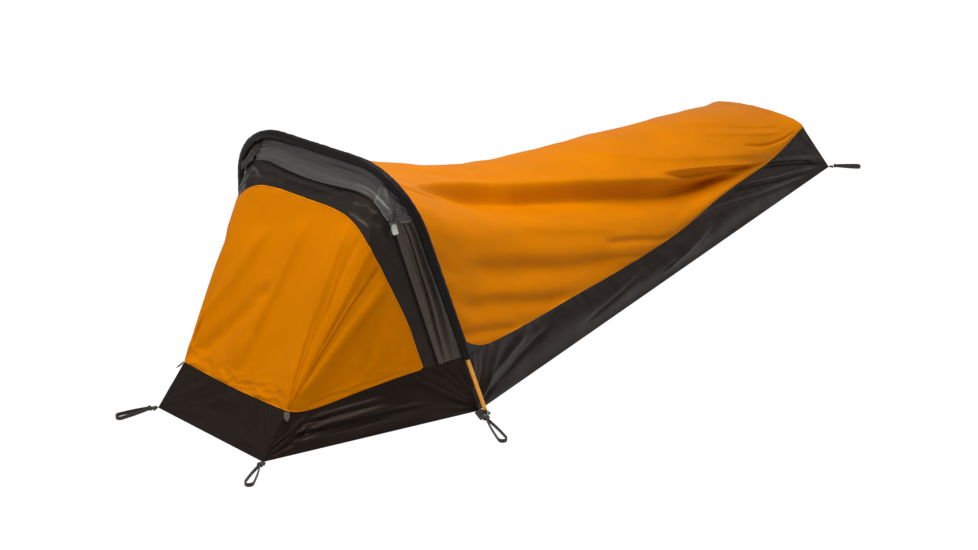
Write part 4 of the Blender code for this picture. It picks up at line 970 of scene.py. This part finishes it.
# Tub creases, as (share along, share up), for the walls beside the head and beside the legs
TUB_HEAD_FOLDS = (
    (((0.03, 0.52), (0.25, 0.56), (0.50, 0.53), (0.72, 0.48)), (0.030, 0.050), 0.0070),
    (((0.05, 0.44), (0.25, 0.47), (0.50, 0.44), (0.80, 0.36)), (0.045, 0.030), -0.0060),
    (((0.06, 0.28), (0.25, 0.31), (0.45, 0.30), (0.62, 0.25)), (0.035, 0.050), 0.0056),
    (((0.08, 0.70), (0.22, 0.70), (0.40, 0.66), (0.58, 0.62)), (0.030, 0.030), -0.0056),
    (((0.10, 0.78), (0.25, 0.78), (0.42, 0.74), (0.60, 0.72)), (0.030, 0.040), 0.0046),
    (((0.70, 0.88), (0.80, 0.62), (0.90, 0.34), (1.0, 0.05)), (0.070, 0.050), -0.0045),
    (((0.78, 0.96), (0.87, 0.72), (0.94, 0.42), (1.0, 0.10)), (0.060, 0.050), 0.0040),
    (((0.86, 0.99), (0.92, 0.78), (0.97, 0.45), (1.01, 0.12)), (0.060, 0.050), -0.0045),
    (((-0.01, 0.02), (0.05, 0.30), (0.09, 0.62), (0.12, 0.90)), (0.080, 0.060), 0.0040),
    (((-0.01, 0.01), (0.08, 0.22), (0.14, 0.50), (0.18, 0.80)), (0.060, 0.080), -0.0056),
)
TUB_LEG_FOLDS = (
    (((0.80, 1.10), (0.86, 0.95), (0.93, 0.55), (1.0, 0.06)), (0.090, 0.060), -0.0110),
    (((0.84, 1.10), (0.89, 0.98), (0.95, 0.60), (1.01, 0.12)), (0.080, 0.080), 0.0050),
    (((0.66, 1.10), (0.73, 0.95), (0.86, 0.48), (0.99, 0.04)), (0.070, 0.050), -0.0080),
    (((0.68, 1.15), (0.76, 0.96), (0.88, 0.52), (0.99, 0.08)), (0.060, 0.070), 0.0045),
    (((0.58, 1.00), (0.66, 0.84), (0.80, 0.42), (0.96, 0.03)), (0.060, 0.050), -0.0050),
    (((0.0, 0.10), (0.03, 0.35), (0.08, 0.62), (0.14, 0.85)), (0.070, 0.070), 0.0050),
    (((0.0, 0.04), (0.05, 0.28), (0.11, 0.50), (0.19, 0.72)), (0.070, 0.060), -0.0045),
    (((0.24, 0.30), (0.32, 0.44), (0.40, 0.62), (0.47, 0.80)), (0.060, 0.050), -0.0030),
    (((0.44, 0.22), (0.52, 0.38), (0.60, 0.58), (0.66, 0.74)), (0.060, 0.050), 0.0026),
)
TUB_HEAD_STRENGTH, PUCKER_RISE, PUCKER_REACH = 0.65, 0.0042, 0.16
WALL_RIPPLES = ((0.0030, 5, 0, 7, 0, 2), (0.0012, 20, 9, 18, 0, 3))
WALL_GATHERS = ((0.0012, 40, 0, 6, 0, 4, "top", 0.02),)


def corner_puckers(along, across, seed):
    """Gathers that spread from both ends of a tub wall's foot, and small dents between them."""
    first, last, foot, top = edge_distances(along, across)
    rise = 0.0
    for k, way in enumerate((first, last)):
        turn = np.arctan2(foot + 0.004, way + 0.02)
        rise = rise + PUCKER_RISE * noise(turn * 7, way * 9, seed + k) * np.exp(-way / PUCKER_REACH)
    rise = rise + ripples(WALL_RIPPLES, along, across, seed)
    gather = ripples(WALL_GATHERS, along, across, seed, top=top)
    ends = seam_fade(np.minimum(first, last), 0.010)
    return (rise * seam_fade(top, 0.012) + gather) * seam_fade(foot, 0.010) * ends * sizes().wrinkles


class BIVY_OT_tub(BivyMaker, bpy.types.Operator):
    """Sews the six tub walls and the groundsheet"""
    bl_idname = "bivy.tub"
    bl_label = "Bathtub floor"

    def execute(self, context):
        look = finishes()["black"]
        walls = [("tub_head_wall", mirrored(HEAD_FOOT, -1), HEAD_FOOT,
                  lambda u: tub_edge(mix(2 - SHOULDER_SHARE, SHOULDER_SHARE, u)),
                  (0, -WALL_BULGE / 2, 0), (120, 44), (), 0),
                 ("tub_foot_wall", mirrored(TOE_FOOT, -1), TOE_FOOT,
                  lambda u: canopy(1 - u, np.ones_like(u)), (0, WALL_BULGE / 2, 0), (140, 60), (), 0)]
        for side, word in SIDES:
            foot, hoop, toe = [mirrored(p, side) for p in (HEAD_FOOT, HOOP_FOOT, TOE_FOOT)]
            out = (side * WALL_BULGE, 0, 0)
            walls.append((f"tub_side_head_{word}", foot, hoop,
                          lambda u, side=side: mirrored(tub_edge(LEG_SHARE * (1 - u)), side), out, (200, 56),
                          TUB_HEAD_FOLDS, TUB_HEAD_STRENGTH))
            walls.append((f"tub_side_foot_{word}", hoop, toe,
                          lambda u, side=side: mirrored(rear_edge(u), side), out, (520, 56),
                          TUB_LEG_FOLDS, 1))
        for seed, (name, start, end, top, out, counts, courses, strength) in enumerate(walls):
            def relief(u, w, along, across, seed=seed, courses=courses, strength=strength):
                first, last, foot, top = edge_distances(along, across)
                quiet = seam_fade(np.minimum(first, last), 0.006) * seam_fade(np.minimum(foot, top), 0.006)
                main = strength * folds(courses, w, u)
                return corner_puckers(along, across, 100 + 10 * seed) + main * quiet
            sew(f"{name}_cloth", wall_surface(start, end, top, out), counts, look, relief,
                replaces=[name])
        self.groundsheet(look)
        return {"FINISHED"}

    def groundsheet(self, look):
        u, w = np.meshgrid(np.linspace(0, 1, 61), np.linspace(0, 1, 236), indexing="ij")
        y = mix(0.0, LENGTH, w)
        half = np.where(y < HOOP_Y, mix(HEAD_HALF, HOOP_HALF, y / HOOP_Y),
                        mix(HOOP_HALF, FOOT_HALF, (y - HOOP_Y) / (LENGTH - HOOP_Y)))
        outer = at(mix(-half, half, u), y, FLOOR_THICKNESS)
        up = np.zeros(outer.shape) + (0, 0, 1.0)
        along, across = run_along(outer, 0), run_along(outer, 1)
        rise = 0.0006 * (1 + noise(along * 9, across * 8, 71)) * arc(u) * arc(w)
        points, faces = skins(outer + up * rise[..., None], up, FLOOR_THICKNESS)
        points[u.size:, 2] = 0.0
        off = np.minimum.reduce(edge_distances(along, across))
        piece = mesh_object("groundsheet_cloth", points, faces, look, sheet_uv(along, across),
                            seam_fields(off, across))
        grid_area(outer)
        settle(piece, ["groundsheet"])


# The hood's bands run from above their seam to past the zip, as shares, and stand off over the zip
BROW_TOP, BROW_DROP, BROW_STAND = -0.08, 1.22, 0.0036
SIDE_TOP, SIDE_DROP, SIDE_STAND = -0.015, 1.09, 0.0026
BROW_WAVES, BROW_RIPPLES = ((0.0065, 2.4, 0.9, 1.7, -2.6, 51),), ((0.0018, 11, 3, 6, -5, 52),)
# Pleats of a side panel: place across as a share, half width, rise and slant
PLEATS = ((0.12, 0.06, 0.004, -0.10), (0.30, 0.05, -0.007, 0.16), (0.50, 0.10, 0.008, 0.22),
          (0.63, 0.035, -0.007, 0.30), (0.82, 0.09, 0.008, 0.12))
SIDE_RIPPLES = ((0.0008, 14, 0, 120, 0, 33), (0.0014, 26, 30, 20, 0, 35))
# The brow ends: where they end on the hoop, by the share down, and their drop, by the place on the hoop
FLAP_EDGE = ((0, 0.520), (0.176, 0.536), (0.845, 0.600), (0.88, 0.600), (0.975, 0.572), (1.0, 0.574))
FLAP_DROPS = ((0.56, 1.42), (0.60, 1.42), (0.65, 1.40), (0.68, 1.30), (0.71, 1.24))
FLAP_STAND, FLAP_OVERLAP, FLAP_TUCK, FLAP_TUCK_REACH, FLAP_CLEAR = 0.0060, 0.004, 0.08, 0.3, 0.0022
# The fold between a brow end's two facets: its course over the hoop's share, rise, and width on each side
FACET_COURSE, FACET_RISE, FACET_WIDTHS = (0.69, 0.602), 0.009, (0.030, 0.016)
CRINKLE_RISE, CRINKLE_DROP, CRINKLE_LEFT = 0.0030, 0.0010, 0.30
CRINKLES, FLAP_RIPPLES = ((0.0012, 130, 0, 110, -60, 45),), ((0.0022, 22, 16, 26, 0, 41),)


def over_zip(down, lift):
    """How far shell cloth stands off where it passes over the zip, down being 1 at the tape's edge."""
    return lift * ease((down - 0.78) / 0.24)


class BIVY_OT_hood(BivyMaker, bpy.types.Operator):
    """Sews the brow over the door, its wrinkled ends and the pleated side panels"""
    bl_idname = "bivy.hood"
    bl_label = "Hood bands"

    def execute(self, context):
        look = finishes()
        for seed, (side, word) in enumerate(SIDES):
            self.side_panel(look, side, word, seed)
            self.flap(look, side, word, seed)
        cloth = shell_cloth((BROW_SHARE, 2 - BROW_SHARE))

        def soft(u, w, along, across):
            down = w * BROW_DROP
            waves = ripples(BROW_WAVES, along, down) * arc(u) ** 0.5 + ripples(BROW_RIPPLES, along, down)
            return waves * seam_fade(across, 0.008) + over_zip(down, BROW_STAND)
        sew("brow_cloth", lambda u, w: cloth(u, mix(BROW_TOP, BROW_DROP, w)), (300, 64), look["grey"], soft,
            replaces=["brow"], seams="3")
        return {"FINISHED"}

    def side_panel(self, look, side, word, seed):
        """The pleated panel beside the zip, which runs up under the flap and folds over the zip."""
        cloth = shell_cloth((None, lambda w: mix(0.535, 0.625, w)), side)

        def pleats(u, w, along, across):
            fan = w + 0.05 * np.sin(along * 9 + seed) + 0.03 * noise(along * 9, w * 2, 31 + seed)
            wave = 0.0 * u
            for place, wide, rise, slant in PLEATS:
                off = (fan - place - slant * (0.5 - u)) / wide
                wave = wave + rise * np.exp(-off * off)
            wave = wave + ripples(SIDE_RIPPLES, along, across, seed)
            return wave * arc(u) ** 0.4 * seam_fade(across, 0.006) + over_zip(w * SIDE_DROP, SIDE_STAND)
        sew(f"side_panel_cloth_{word}", lambda u, w: cloth(u, mix(SIDE_TOP, SIDE_DROP, w)), (200, 90),
            look["side"], pleats, replaces=[f"side_panel_{word}"],
            seams="3")

    def flap(self, look, side, word, seed):
        """The wrinkled brow end that shelters the slider: two facets, a hem and a leaf fold."""
        cloth = shell_cloth((0.0, 1.0), side)

        def place(u, w):
            share = mix(np.interp(w, *zip(*FLAP_EDGE)), BROW_SHARE + FLAP_OVERLAP, u)
            return share, w * np.interp(share, *zip(*FLAP_DROPS))

        def surface(u, w):
            share, down = place(u, w)
            return cloth(share, down - FLAP_TUCK * (1 - ease(down / FLAP_TUCK_REACH)))

        def wrinkles(u, w, along, across):
            share, down = place(u, w)
            way = np.clip(down / 1.25, 0, 1)
            off = (share - mix(*FACET_COURSE, way)) * SEAM_HALF
            ridge = np.exp(-(off / np.where(off > 0, *FACET_WIDTHS)) ** 2) * arc(way * 0.9) ** 0.6
            squiggle = tucks(along, across, 70, 40, 75, -20, 43 + seed, 4)
            crinkle = CRINKLE_RISE * squiggle - CRINKLE_DROP + ripples(CRINKLES, along, across, seed)
            crinkle = crinkle * mix(CRINKLE_LEFT, 1.0, ease(-off / 0.02))
            long = ripples(FLAP_RIPPLES, along, across, seed)
            quiet = seam_fade(across, 0.006) * seam_fade(along[-1:] - along, 0.006)
            return ((FACET_RISE * ridge + crinkle + long) * quiet + over_zip(down, FLAP_STAND)
                    + FLAP_CLEAR * ease(down / FLAP_TUCK_REACH))
        # The far brow end takes the grey cloth's painted-shade copy
        sew(f"brow_end_cloth_{word}", surface, (110, 90), look["flap" if side > 0 else "flap_far_painted_shade"], wrinkles,
            replaces=[f"brow_end_{word}"], seams="013",
            plain=lambda u, w: cloth(place(u, w)[0], w))


# The door's relief: the border's dent under the brow, its slanting tucks, and the tucks at the leaf's hem
DENT_RISE, TUCK_RISE, TUCK_DROP = -0.006, 0.0058, 0.0020
HEM_RISE, HEM_TUCK_RISE, HEM_TUCK_DROP, HEM_REACH = 0.0065, 0.0060, 0.0018, 0.026
SLANT_RIPPLES = ((0.0028, 24, -30, 50, 0, 64),)
BORDER_RIPPLES = ((0.0016, 7, 0, 42, 2, 61), (0.0010, 30, 0, 20, 0, 62))
LEAF_RIPPLES = ((0.0026, 14, 0, 2.2, 0, 65), (0.0008, 46, 0, 5, 0, 66))
LEAF_GATHERS = ((0.0010, 50, 0, 8, 0, 68, "seam", 0.02),)
TAPE_SKIN = 0.0012


class BIVY_OT_door(BivyMaker, bpy.types.Operator):
    """Sews the door: its zip tape, black border and orange leaf"""
    bl_idname = "bivy.door"
    bl_label = "Door"

    def execute(self, context):
        look = finishes()
        sew("zip_tape_shell_cloth", shell_tape, (300, 4), look["tape"], replaces=["zip_tape_shell"],
            seams="2", thickness=TAPE_SKIN)
        sew("zip_tape_door_cloth", door_tape, (300, 4), look["tape"], replaces=["zip_tape_door"],
            seams="3", thickness=TAPE_SKIN, door=True)

        def border(u, w, along, across):
            share = along_zip(u, door_start(DOOR_SEAM + BORDER_AT_BASE * w))
            bend = np.exp(-((np.abs(share - 1) - 0.27) / 0.10) ** 2)
            dent = DENT_RISE * np.exp(-((w - 0.30) / 0.18) ** 2) * np.exp(-((share - 1.0) / 0.13) ** 2)
            slant = (TUCK_RISE * tucks(along, across, 13, 26, 13, -10, 63) - TUCK_DROP) * (0.30 + bend)
            slant = slant + ripples(SLANT_RIPPLES, along, across) * (0.35 + bend)
            return (dent + slant + ripples(BORDER_RIPPLES, along, across)) * arc(w) ** 0.6 * arc(u) ** 0.3
        sew("door_border_cloth", door_band, (420, 44), look["band"], border, replaces=["door_border"],
            door=True)

        def creases(u, w, along, across):
            low = across[:, -1:] - across
            share = along_zip(u, door_start(DOOR_SEAM + BORDER_AT_BASE + DOOR_TOE))
            full = size_of(zip_line(share) - tub_edge(share))
            down = mix((DOOR_SEAM + border_width(share)) / full, 1, w)
            small = ripples(LEAF_RIPPLES, share, across)
            hem = HEM_TUCK_RISE * tucks(along, low, 30, 34, 30, -16, 69) - HEM_TUCK_DROP
            hem = (hem + HEM_RISE * slanted(along, low, 24, 20, 34, -9, 67)) * np.exp(-low / HEM_REACH)
            side = ripples(LEAF_GATHERS, along, across, seam=across)
            quiet = seam_fade(across, 0.006) * seam_fade(low, 0.006) * arc(u) ** 0.3
            return (folds(DOOR_FOLDS, share, down) + small + hem + side) * quiet
        sew("door_leaf_cloth", door_leaf, (300, 150), look["orange"], creases, replaces=["door_leaf"],
            door=True)
        return {"FINISHED"}


HOOP_LENGTH = 2 * sum(hoop_lengths(0.0))
CORD_RADIUS, CORD_ROUTE = 0.0013, 120
SLEEVE_ROWS, SLEEVE_SIDES, SLEEVE_SKIN, SLEEVE_INSET = 420, 30, 0.0009, 0.0006
SLEEVE_RIPPLES = ((0.0007, 60, 0, 1.2, 0, 81), (0.0004, 150, 0, 2, 0, 82))
FITTINGS = (("pole_section", "pole"), ("pole_ferrule", "steel"), ("pole_tip", "tip"), ("grommet", "steel"),
            ("zip_slider", "dark"), ("zip_pull", "pull"))


class BIVY_OT_hoop(BivyMaker, bpy.types.Operator):
    """Finishes the pole, its tips and grommets, the cord in it and the sleeve round it"""
    bl_idname = "bivy.hoop"
    bl_label = "Hoop"

    def execute(self, context):
        look = finishes()
        for name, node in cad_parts.items():
            for start, finish in FITTINGS:
                if name.startswith(start):
                    for slot in node.material_slots:
                        slot.material = look[finish]
        self.cord(look)
        self.sleeve(look)
        return {"FINISHED"}

    def cord(self, look):
        start = TIP_LENGTH + TIP_SPIGOT + GAP
        route = hoop_point(0.0, np.linspace(start, HOOP_LENGTH - start, CORD_ROUTE))
        points, faces = tube(route, np.full(CORD_ROUTE, CORD_RADIUS), 10)
        piece = mesh_object("shock_cord_braid", points, faces, look["elastic"])
        length = float(run_along(route, 0)[-1])
        settle(piece, ["shock_cord"])

    def sleeve(self, look):
        line = np.linspace(SEAM_FOOT, HOOP_LENGTH - SEAM_FOOT, SLEEVE_ROWS)
        route = hoop_point(0.0, line)
        tangent = unit(np.gradient(route, axis=0))
        out = unit(np.cross(np.broadcast_to(HALF_LEAN, tangent.shape), tangent))
        out = out * np.where(dot(out, route - np.array((0, route[0, 1], 0.2))) < 0, -1, 1)[:, None]
        turns = np.linspace(0, 2 * np.pi, SLEEVE_SIDES, endpoint=False)
        run, angle = np.meshgrid(line, turns, indexing="ij")
        radius = SLEEVE_RADIUS - SLEEVE_INSET + ripples(SLEEVE_RIPPLES, run, angle)
        points = [(route[:, None] + out[:, None] * (np.cos(angle) * reach)[..., None]
                   + HALF_LEAN * (np.sin(angle) * reach)[..., None]).reshape(-1, 3)
                  for reach in (radius, radius - SLEEVE_SKIN)]
        index, after = rings(SLEEVE_ROWS, SLEEVE_SIDES)
        skin = np.stack((index[:-1], index[1:], after[1:], after[:-1]), -1).reshape(-1, 4)
        count = index.size
        ends = [np.stack((index[k], after[k], after[k] + count, index[k] + count), -1) for k in (0, -1)]
        faces = np.concatenate((skin, skin[:, ::-1] + count, ends[0], ends[1][:, ::-1]))
        piece = mesh_object("pole_sleeve_cloth", np.concatenate(points), faces, look["sleeve"],
                            sheet_uv(run, angle * SLEEVE_RADIUS),
                            seam_fields(np.abs(angle - np.pi) * SLEEVE_RADIUS, run))
        outward(piece)
        length = float(run_along(route, 0)[-1])
        settle(piece, ["pole_sleeve"])


def outward(piece):
    """Turns a closed mesh's faces to point out."""
    shape = bmesh.new()
    shape.from_mesh(piece.data)
    bmesh.ops.recalc_face_normals(shape, faces=shape.faces)
    shape.to_mesh(piece.data)
    shape.free()


def rings(count, sides):
    """The point numbers of rings that follow each other, and of each point's neighbour round its ring."""
    index = np.arange(count * sides).reshape(count, sides)
    return index, np.roll(index, -1, 1)


def tube(route, radii, sides):
    """Points and faces of a closed round tube along a route."""
    tangent = unit(np.gradient(route, axis=0))
    first = unit(np.cross(tangent[0], (0.3, 0.5, 0.81)))
    across = np.empty_like(route)
    for k, way in enumerate(tangent):
        first = unit(first - way * np.dot(first, way))
        across[k] = first
    other = np.cross(tangent, across)
    angle = np.linspace(0, 2 * np.pi, sides, endpoint=False)
    ring = (route[:, None] + across[:, None] * (np.cos(angle) * radii[:, None])[..., None]
            + other[:, None] * (np.sin(angle) * radii[:, None])[..., None])
    index, after = rings(len(route), sides)
    faces = np.stack((index[:-1], after[:-1], after[1:], index[1:]), -1).reshape(-1, 4).tolist()
    return ring.reshape(-1, 3), faces + [index[0, ::-1].tolist(), index[-1].tolist()]


# The peg points' turns in degrees on both sides, and the sizes of their tabs and loops
HEAD_TURNS, HOOP_TURNS, FOOT_TURNS = (-60, -72), (-27, 8), (35, 40)
TAB_WIDTH, TAB_REACH, TAB_THICKNESS, STRAP_INSET = 0.016, 0.014, 0.0030, 0.0002
HOOP_TAB_WIDTH, HOOP_TAB_REACH, GROMMET_HOLE = 0.024, POLE_FOOT_HALF - HOOP_HALF + 0.0152, 0.0061
LOOP_LENGTH, HOOP_LOOP_LENGTH = 0.080, 0.105
LOOP_HALF_WIDTH, LOOP_THICKNESS, LOOP_HEIGHT, LOOP_SWELL = 0.0105, 0.0018, 0.010, 0.0016
LOOP_LEVEL, KNOT_HALF, KNOT_TAPER, ROOT_FLAT = LOOP_HEIGHT / 2 + GAP, 0.0058, 0.10, 1.2
GEAR_TAB_WIDTH, GEAR_TAB_LENGTH, GEAR_TAB_THICKNESS = 0.012, 0.022, 0.0014
GEAR_TAB_OUT, GEAR_TAB_START, GEAR_TAB_SQUARE = 0.080, 0.0030, 0.6


def band_along(route, flat, width, thickness, corner=4):
    """A flat strap along a route: its broad way is flat, its edges are rounded, its ends closed."""
    tangent = unit(np.gradient(route, axis=0))
    thin = unit(np.cross(tangent, flat))
    flat = np.cross(thin, tangent)
    turn = np.linspace(-np.pi / 2, np.pi / 2, corner + 1)
    half, round_off = width / 2, thickness / 2
    side = np.stack(((half - round_off) + round_off * np.cos(turn), round_off * np.sin(turn)), -1)
    outline = np.concatenate((side, -side))
    points = (route[:, None] + flat[:, None] * outline[None, :, :1] + thin[:, None] * outline[None, :, 1:])
    index, after = rings(len(route), len(outline))
    faces = np.stack((index[:-1], index[1:], after[1:], after[:-1]), -1).reshape(-1, 4).tolist()
    faces += [index[0].tolist(), index[-1][::-1].tolist()]
    run, off = np.meshgrid(run_along(route, 0), outline[:, 0], indexing="ij")
    return points.reshape(-1, 3), faces, np.stack((run, off), -1).reshape(-1, 2)


class BIVY_OT_webbing(BivyMaker, bpy.types.Operator):
    """Makes the peg tabs, their loops and the corner tabs in webbing"""
    bl_idname = "bivy.webbing"
    bl_label = "Webbing"

    def execute(self, context):
        look = finishes()
        head, hoop, toe = [p[:2] for p in (HEAD_FOOT, HOOP_FOOT, TOE_FOOT)]
        points = (("head", head, head * (-1, 1), hoop, HEAD_TURNS, TAB_WIDTH, TAB_REACH, LOOP_LENGTH),
                  ("hoop", hoop, head, toe, HOOP_TURNS, HOOP_TAB_WIDTH, HOOP_TAB_REACH, HOOP_LOOP_LENGTH),
                  ("foot", toe, hoop, toe * (-1, 1), FOOT_TURNS, TAB_WIDTH, TAB_REACH, LOOP_LENGTH))
        for place, corner, before, after, turns, width, reach, length in points:
            for (side, word), turn in zip(SIDES, turns):
                way = np.array((math.cos(math.radians(turn)), math.sin(math.radians(turn))))
                self.tab(look, place, word, side, corner, before, after, way, width, reach)
                self.loop(look, place, word, side, corner + way * (reach + LOOP_LEVEL), way, length)
        for side, word in SIDES:
            self.gear_tab(look, side, word)
        return {"FINISHED"}

    def tab(self, look, place, word, side, corner, before, after, way, width, reach):
        """A tab that starts a gap outside the groundsheet's two edges and ends at the loop's root."""
        cross = np.array((-way[1], way[0]))

        def start(offset):
            found = []
            for begin, stop in ((before, corner), (corner, after)):
                out = np.array((stop[1] - begin[1], begin[0] - stop[0]))
                out = out / np.linalg.norm(out)
                out = out if out @ way > 0 else -out
                found.append((out @ corner + GAP - (corner[0] * out[0] + corner[1] * out[1]
                                                    + offset * (cross @ out))) / (out @ way))
            return np.maximum(*found)

        def surface(u, w):
            offset = (w - 0.5) * (width - STRAP_INSET)
            far = mix(start(offset), reach - STRAP_INSET / 2, u)
            x, y = corner[0] + cross[0] * offset + way[0] * far, corner[1] + cross[1] * offset + way[1] * far
            return np.stack((x * side, y, STRAP_INSET + 0 * x), -1)
        piece = sew(f"peg_tab_strap_{place}_{word}", surface, (12, 12), look["webbing"], seams="",
                    replaces=[f"peg_tab_{place}_{word}"], thickness=TAB_THICKNESS - 0.0003)
        if place == "hoop":
            self.pierce(piece, mirrored(hoop_point(0.0, 0.0), side))

    def pierce(self, piece, foot):
        """Cuts the hole for the grommet."""
        bpy.ops.object.select_all(action="DESELECT")
        bpy.ops.mesh.primitive_cylinder_add(vertices=28, radius=GROMMET_HOLE, depth=0.02,
                                            location=tuple(foot))
        cutter = bpy.context.active_object
        bpy.ops.object.select_all(action="DESELECT")
        bpy.context.view_layer.objects.active = piece
        piece.select_set(True)
        cut = piece.modifiers.new("hole", "BOOLEAN")
        cut.operation, cut.solver, cut.object = "DIFFERENCE", "EXACT", cutter
        bpy.ops.object.modifier_apply(modifier=cut.name)
        bpy.data.objects.remove(cutter)

    def loop(self, look, place, word, side, root, way, length):
        """A teardrop of webbing that stands on its edge, bound round at its root."""
        radius, centre = LOOP_HALF_WIDTH - LOOP_THICKNESS / 2, length - LOOP_HALF_WIDTH
        angle = math.acos(radius / centre)
        turn = np.linspace(-math.pi + angle, math.pi - angle, 28)
        bow = np.stack((centre + radius * np.cos(turn), radius * np.sin(turn)), -1)
        share = np.linspace(0.02, 1, 16)[:-1, None]
        swell = LOOP_SWELL * np.sin(np.pi * share)
        out_leg = bow[0] * share + np.array((0, -1)) * swell
        back_leg = (bow[-1] * share + np.array((0, 1)) * swell)[::-1]
        line = np.concatenate((out_leg, bow, back_leg))
        cross = np.array((-way[1], way[0]))

        def laid(flat):
            return np.stack((flat[:, 0] * side, flat[:, 1], LOOP_LEVEL + 0 * flat[:, 0]), -1)
        route = laid(root + line[:, :1] * way + line[:, 1:] * cross)
        points, faces, uv = band_along(route, np.array((0, 0, 1.0)), LOOP_HEIGHT - 2 * STRAP_INSET,
                                       LOOP_THICKNESS)
        ends = np.linspace(-1, 1, 9)
        radii = np.full(9, LOOP_HEIGHT / 2 - STRAP_INSET) * (1 - KNOT_TAPER * ends ** 4)
        more, knot = tube(laid(np.stack([root + cross * k * KNOT_HALF for k in ends])), radii, 16)
        faces = faces + [[k + len(points) for k in face] for face in knot]
        uv = np.concatenate((uv, np.stack((more[:, 2], more[:, 0] + more[:, 1]), -1)))
        piece = mesh_object(f"peg_loop_strap_{place}_{word}", np.concatenate((points, more)), faces,
                            look["webbing"], uv)
        outward(piece)
        run, wide = float(run_along(line, 0)[-1]), LOOP_HEIGHT * ROOT_FLAT
        settle(piece, [f"peg_loop_{place}_{word}"], f"loop_{place}_{word}")

    def gear_tab(self, look, side, word):
        """A pointed tab from the tub's top corner, doubled over and sewn in at the seam."""
        corner = mirrored(HEAD_TOP, side)
        down = unit(mirrored(HEAD_FOOT, side) - corner + np.array((side * GEAR_TAB_OUT, 0, 0)))
        level = mirrored(HOOP_TOP - HEAD_TOP, side) * side
        cross = unit(np.cross(np.cross(down, level), down))
        thick = unit(np.cross(down, cross))
        facing = np.sign(np.dot(thick, corner - inside_of(corner)))

        def surface(u, w):
            point = GEAR_TAB_SQUARE + (1 - GEAR_TAB_SQUARE) * (1 - np.abs(2 * w - 1))
            far = GEAR_TAB_START + GEAR_TAB_LENGTH * point * u
            lie = corner + down * far[..., None] + cross * ((w - 0.5) * GEAR_TAB_WIDTH)[..., None]
            return lie + thick * facing * GEAR_TAB_THICKNESS / 2
        sew(f"gear_tab_strap_{word}", surface, (20, 16), look["gear"], seams="",
            replaces=[f"gear_tab_{word}"], thickness=GEAR_TAB_THICKNESS)


MAKERS = (BIVY_OT_stage, BIVY_OT_hoop, BIVY_OT_tub, BIVY_OT_canopy, BIVY_OT_hood, BIVY_OT_door,
          BIVY_OT_webbing)


class BIVY_PT_panel(bpy.types.Panel):
    """Lists the shelter's makers and what a user would change"""
    bl_idname = "BIVY_PT_panel"
    bl_label = "Bivy shelter"
    bl_space_type = "VIEW_3D"
    bl_region_type = "UI"
    bl_category = "Bivy"

    def draw(self, context):
        for maker in MAKERS:
            self.layout.operator(maker.bl_idname)
        for group in (context.scene.bivy_sizes, context.scene.bivy_colours):
            for key in group.__annotations__:
                self.layout.prop(group, key)


CLASSES = (BivyColours, BivySizes, *MAKERS, BIVY_PT_panel)


def register():
    for item in CLASSES:
        bpy.utils.register_class(item)
    bpy.types.Scene.bivy_colours = bpy.props.PointerProperty(type=BivyColours)
    bpy.types.Scene.bivy_sizes = bpy.props.PointerProperty(type=BivySizes)


def unregister():
    del bpy.types.Scene.bivy_sizes
    del bpy.types.Scene.bivy_colours
    for item in reversed(CLASSES):
        bpy.utils.unregister_class(item)


def plain(box):
    return [[float(value) for value in corner] for corner in box]


def main():
    register()
    bpy.ops.bivy.stage()
    bpy.ops.bivy.hoop()
    bpy.ops.bivy.tub()
    bpy.ops.bivy.canopy()
    bpy.ops.bivy.hood()
    bpy.ops.bivy.door()
    bpy.ops.bivy.webbing()
    {"frame": plain(FRAME_BOX), "dressed": plain(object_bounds())}


if __name__ == "__main__":
    main()
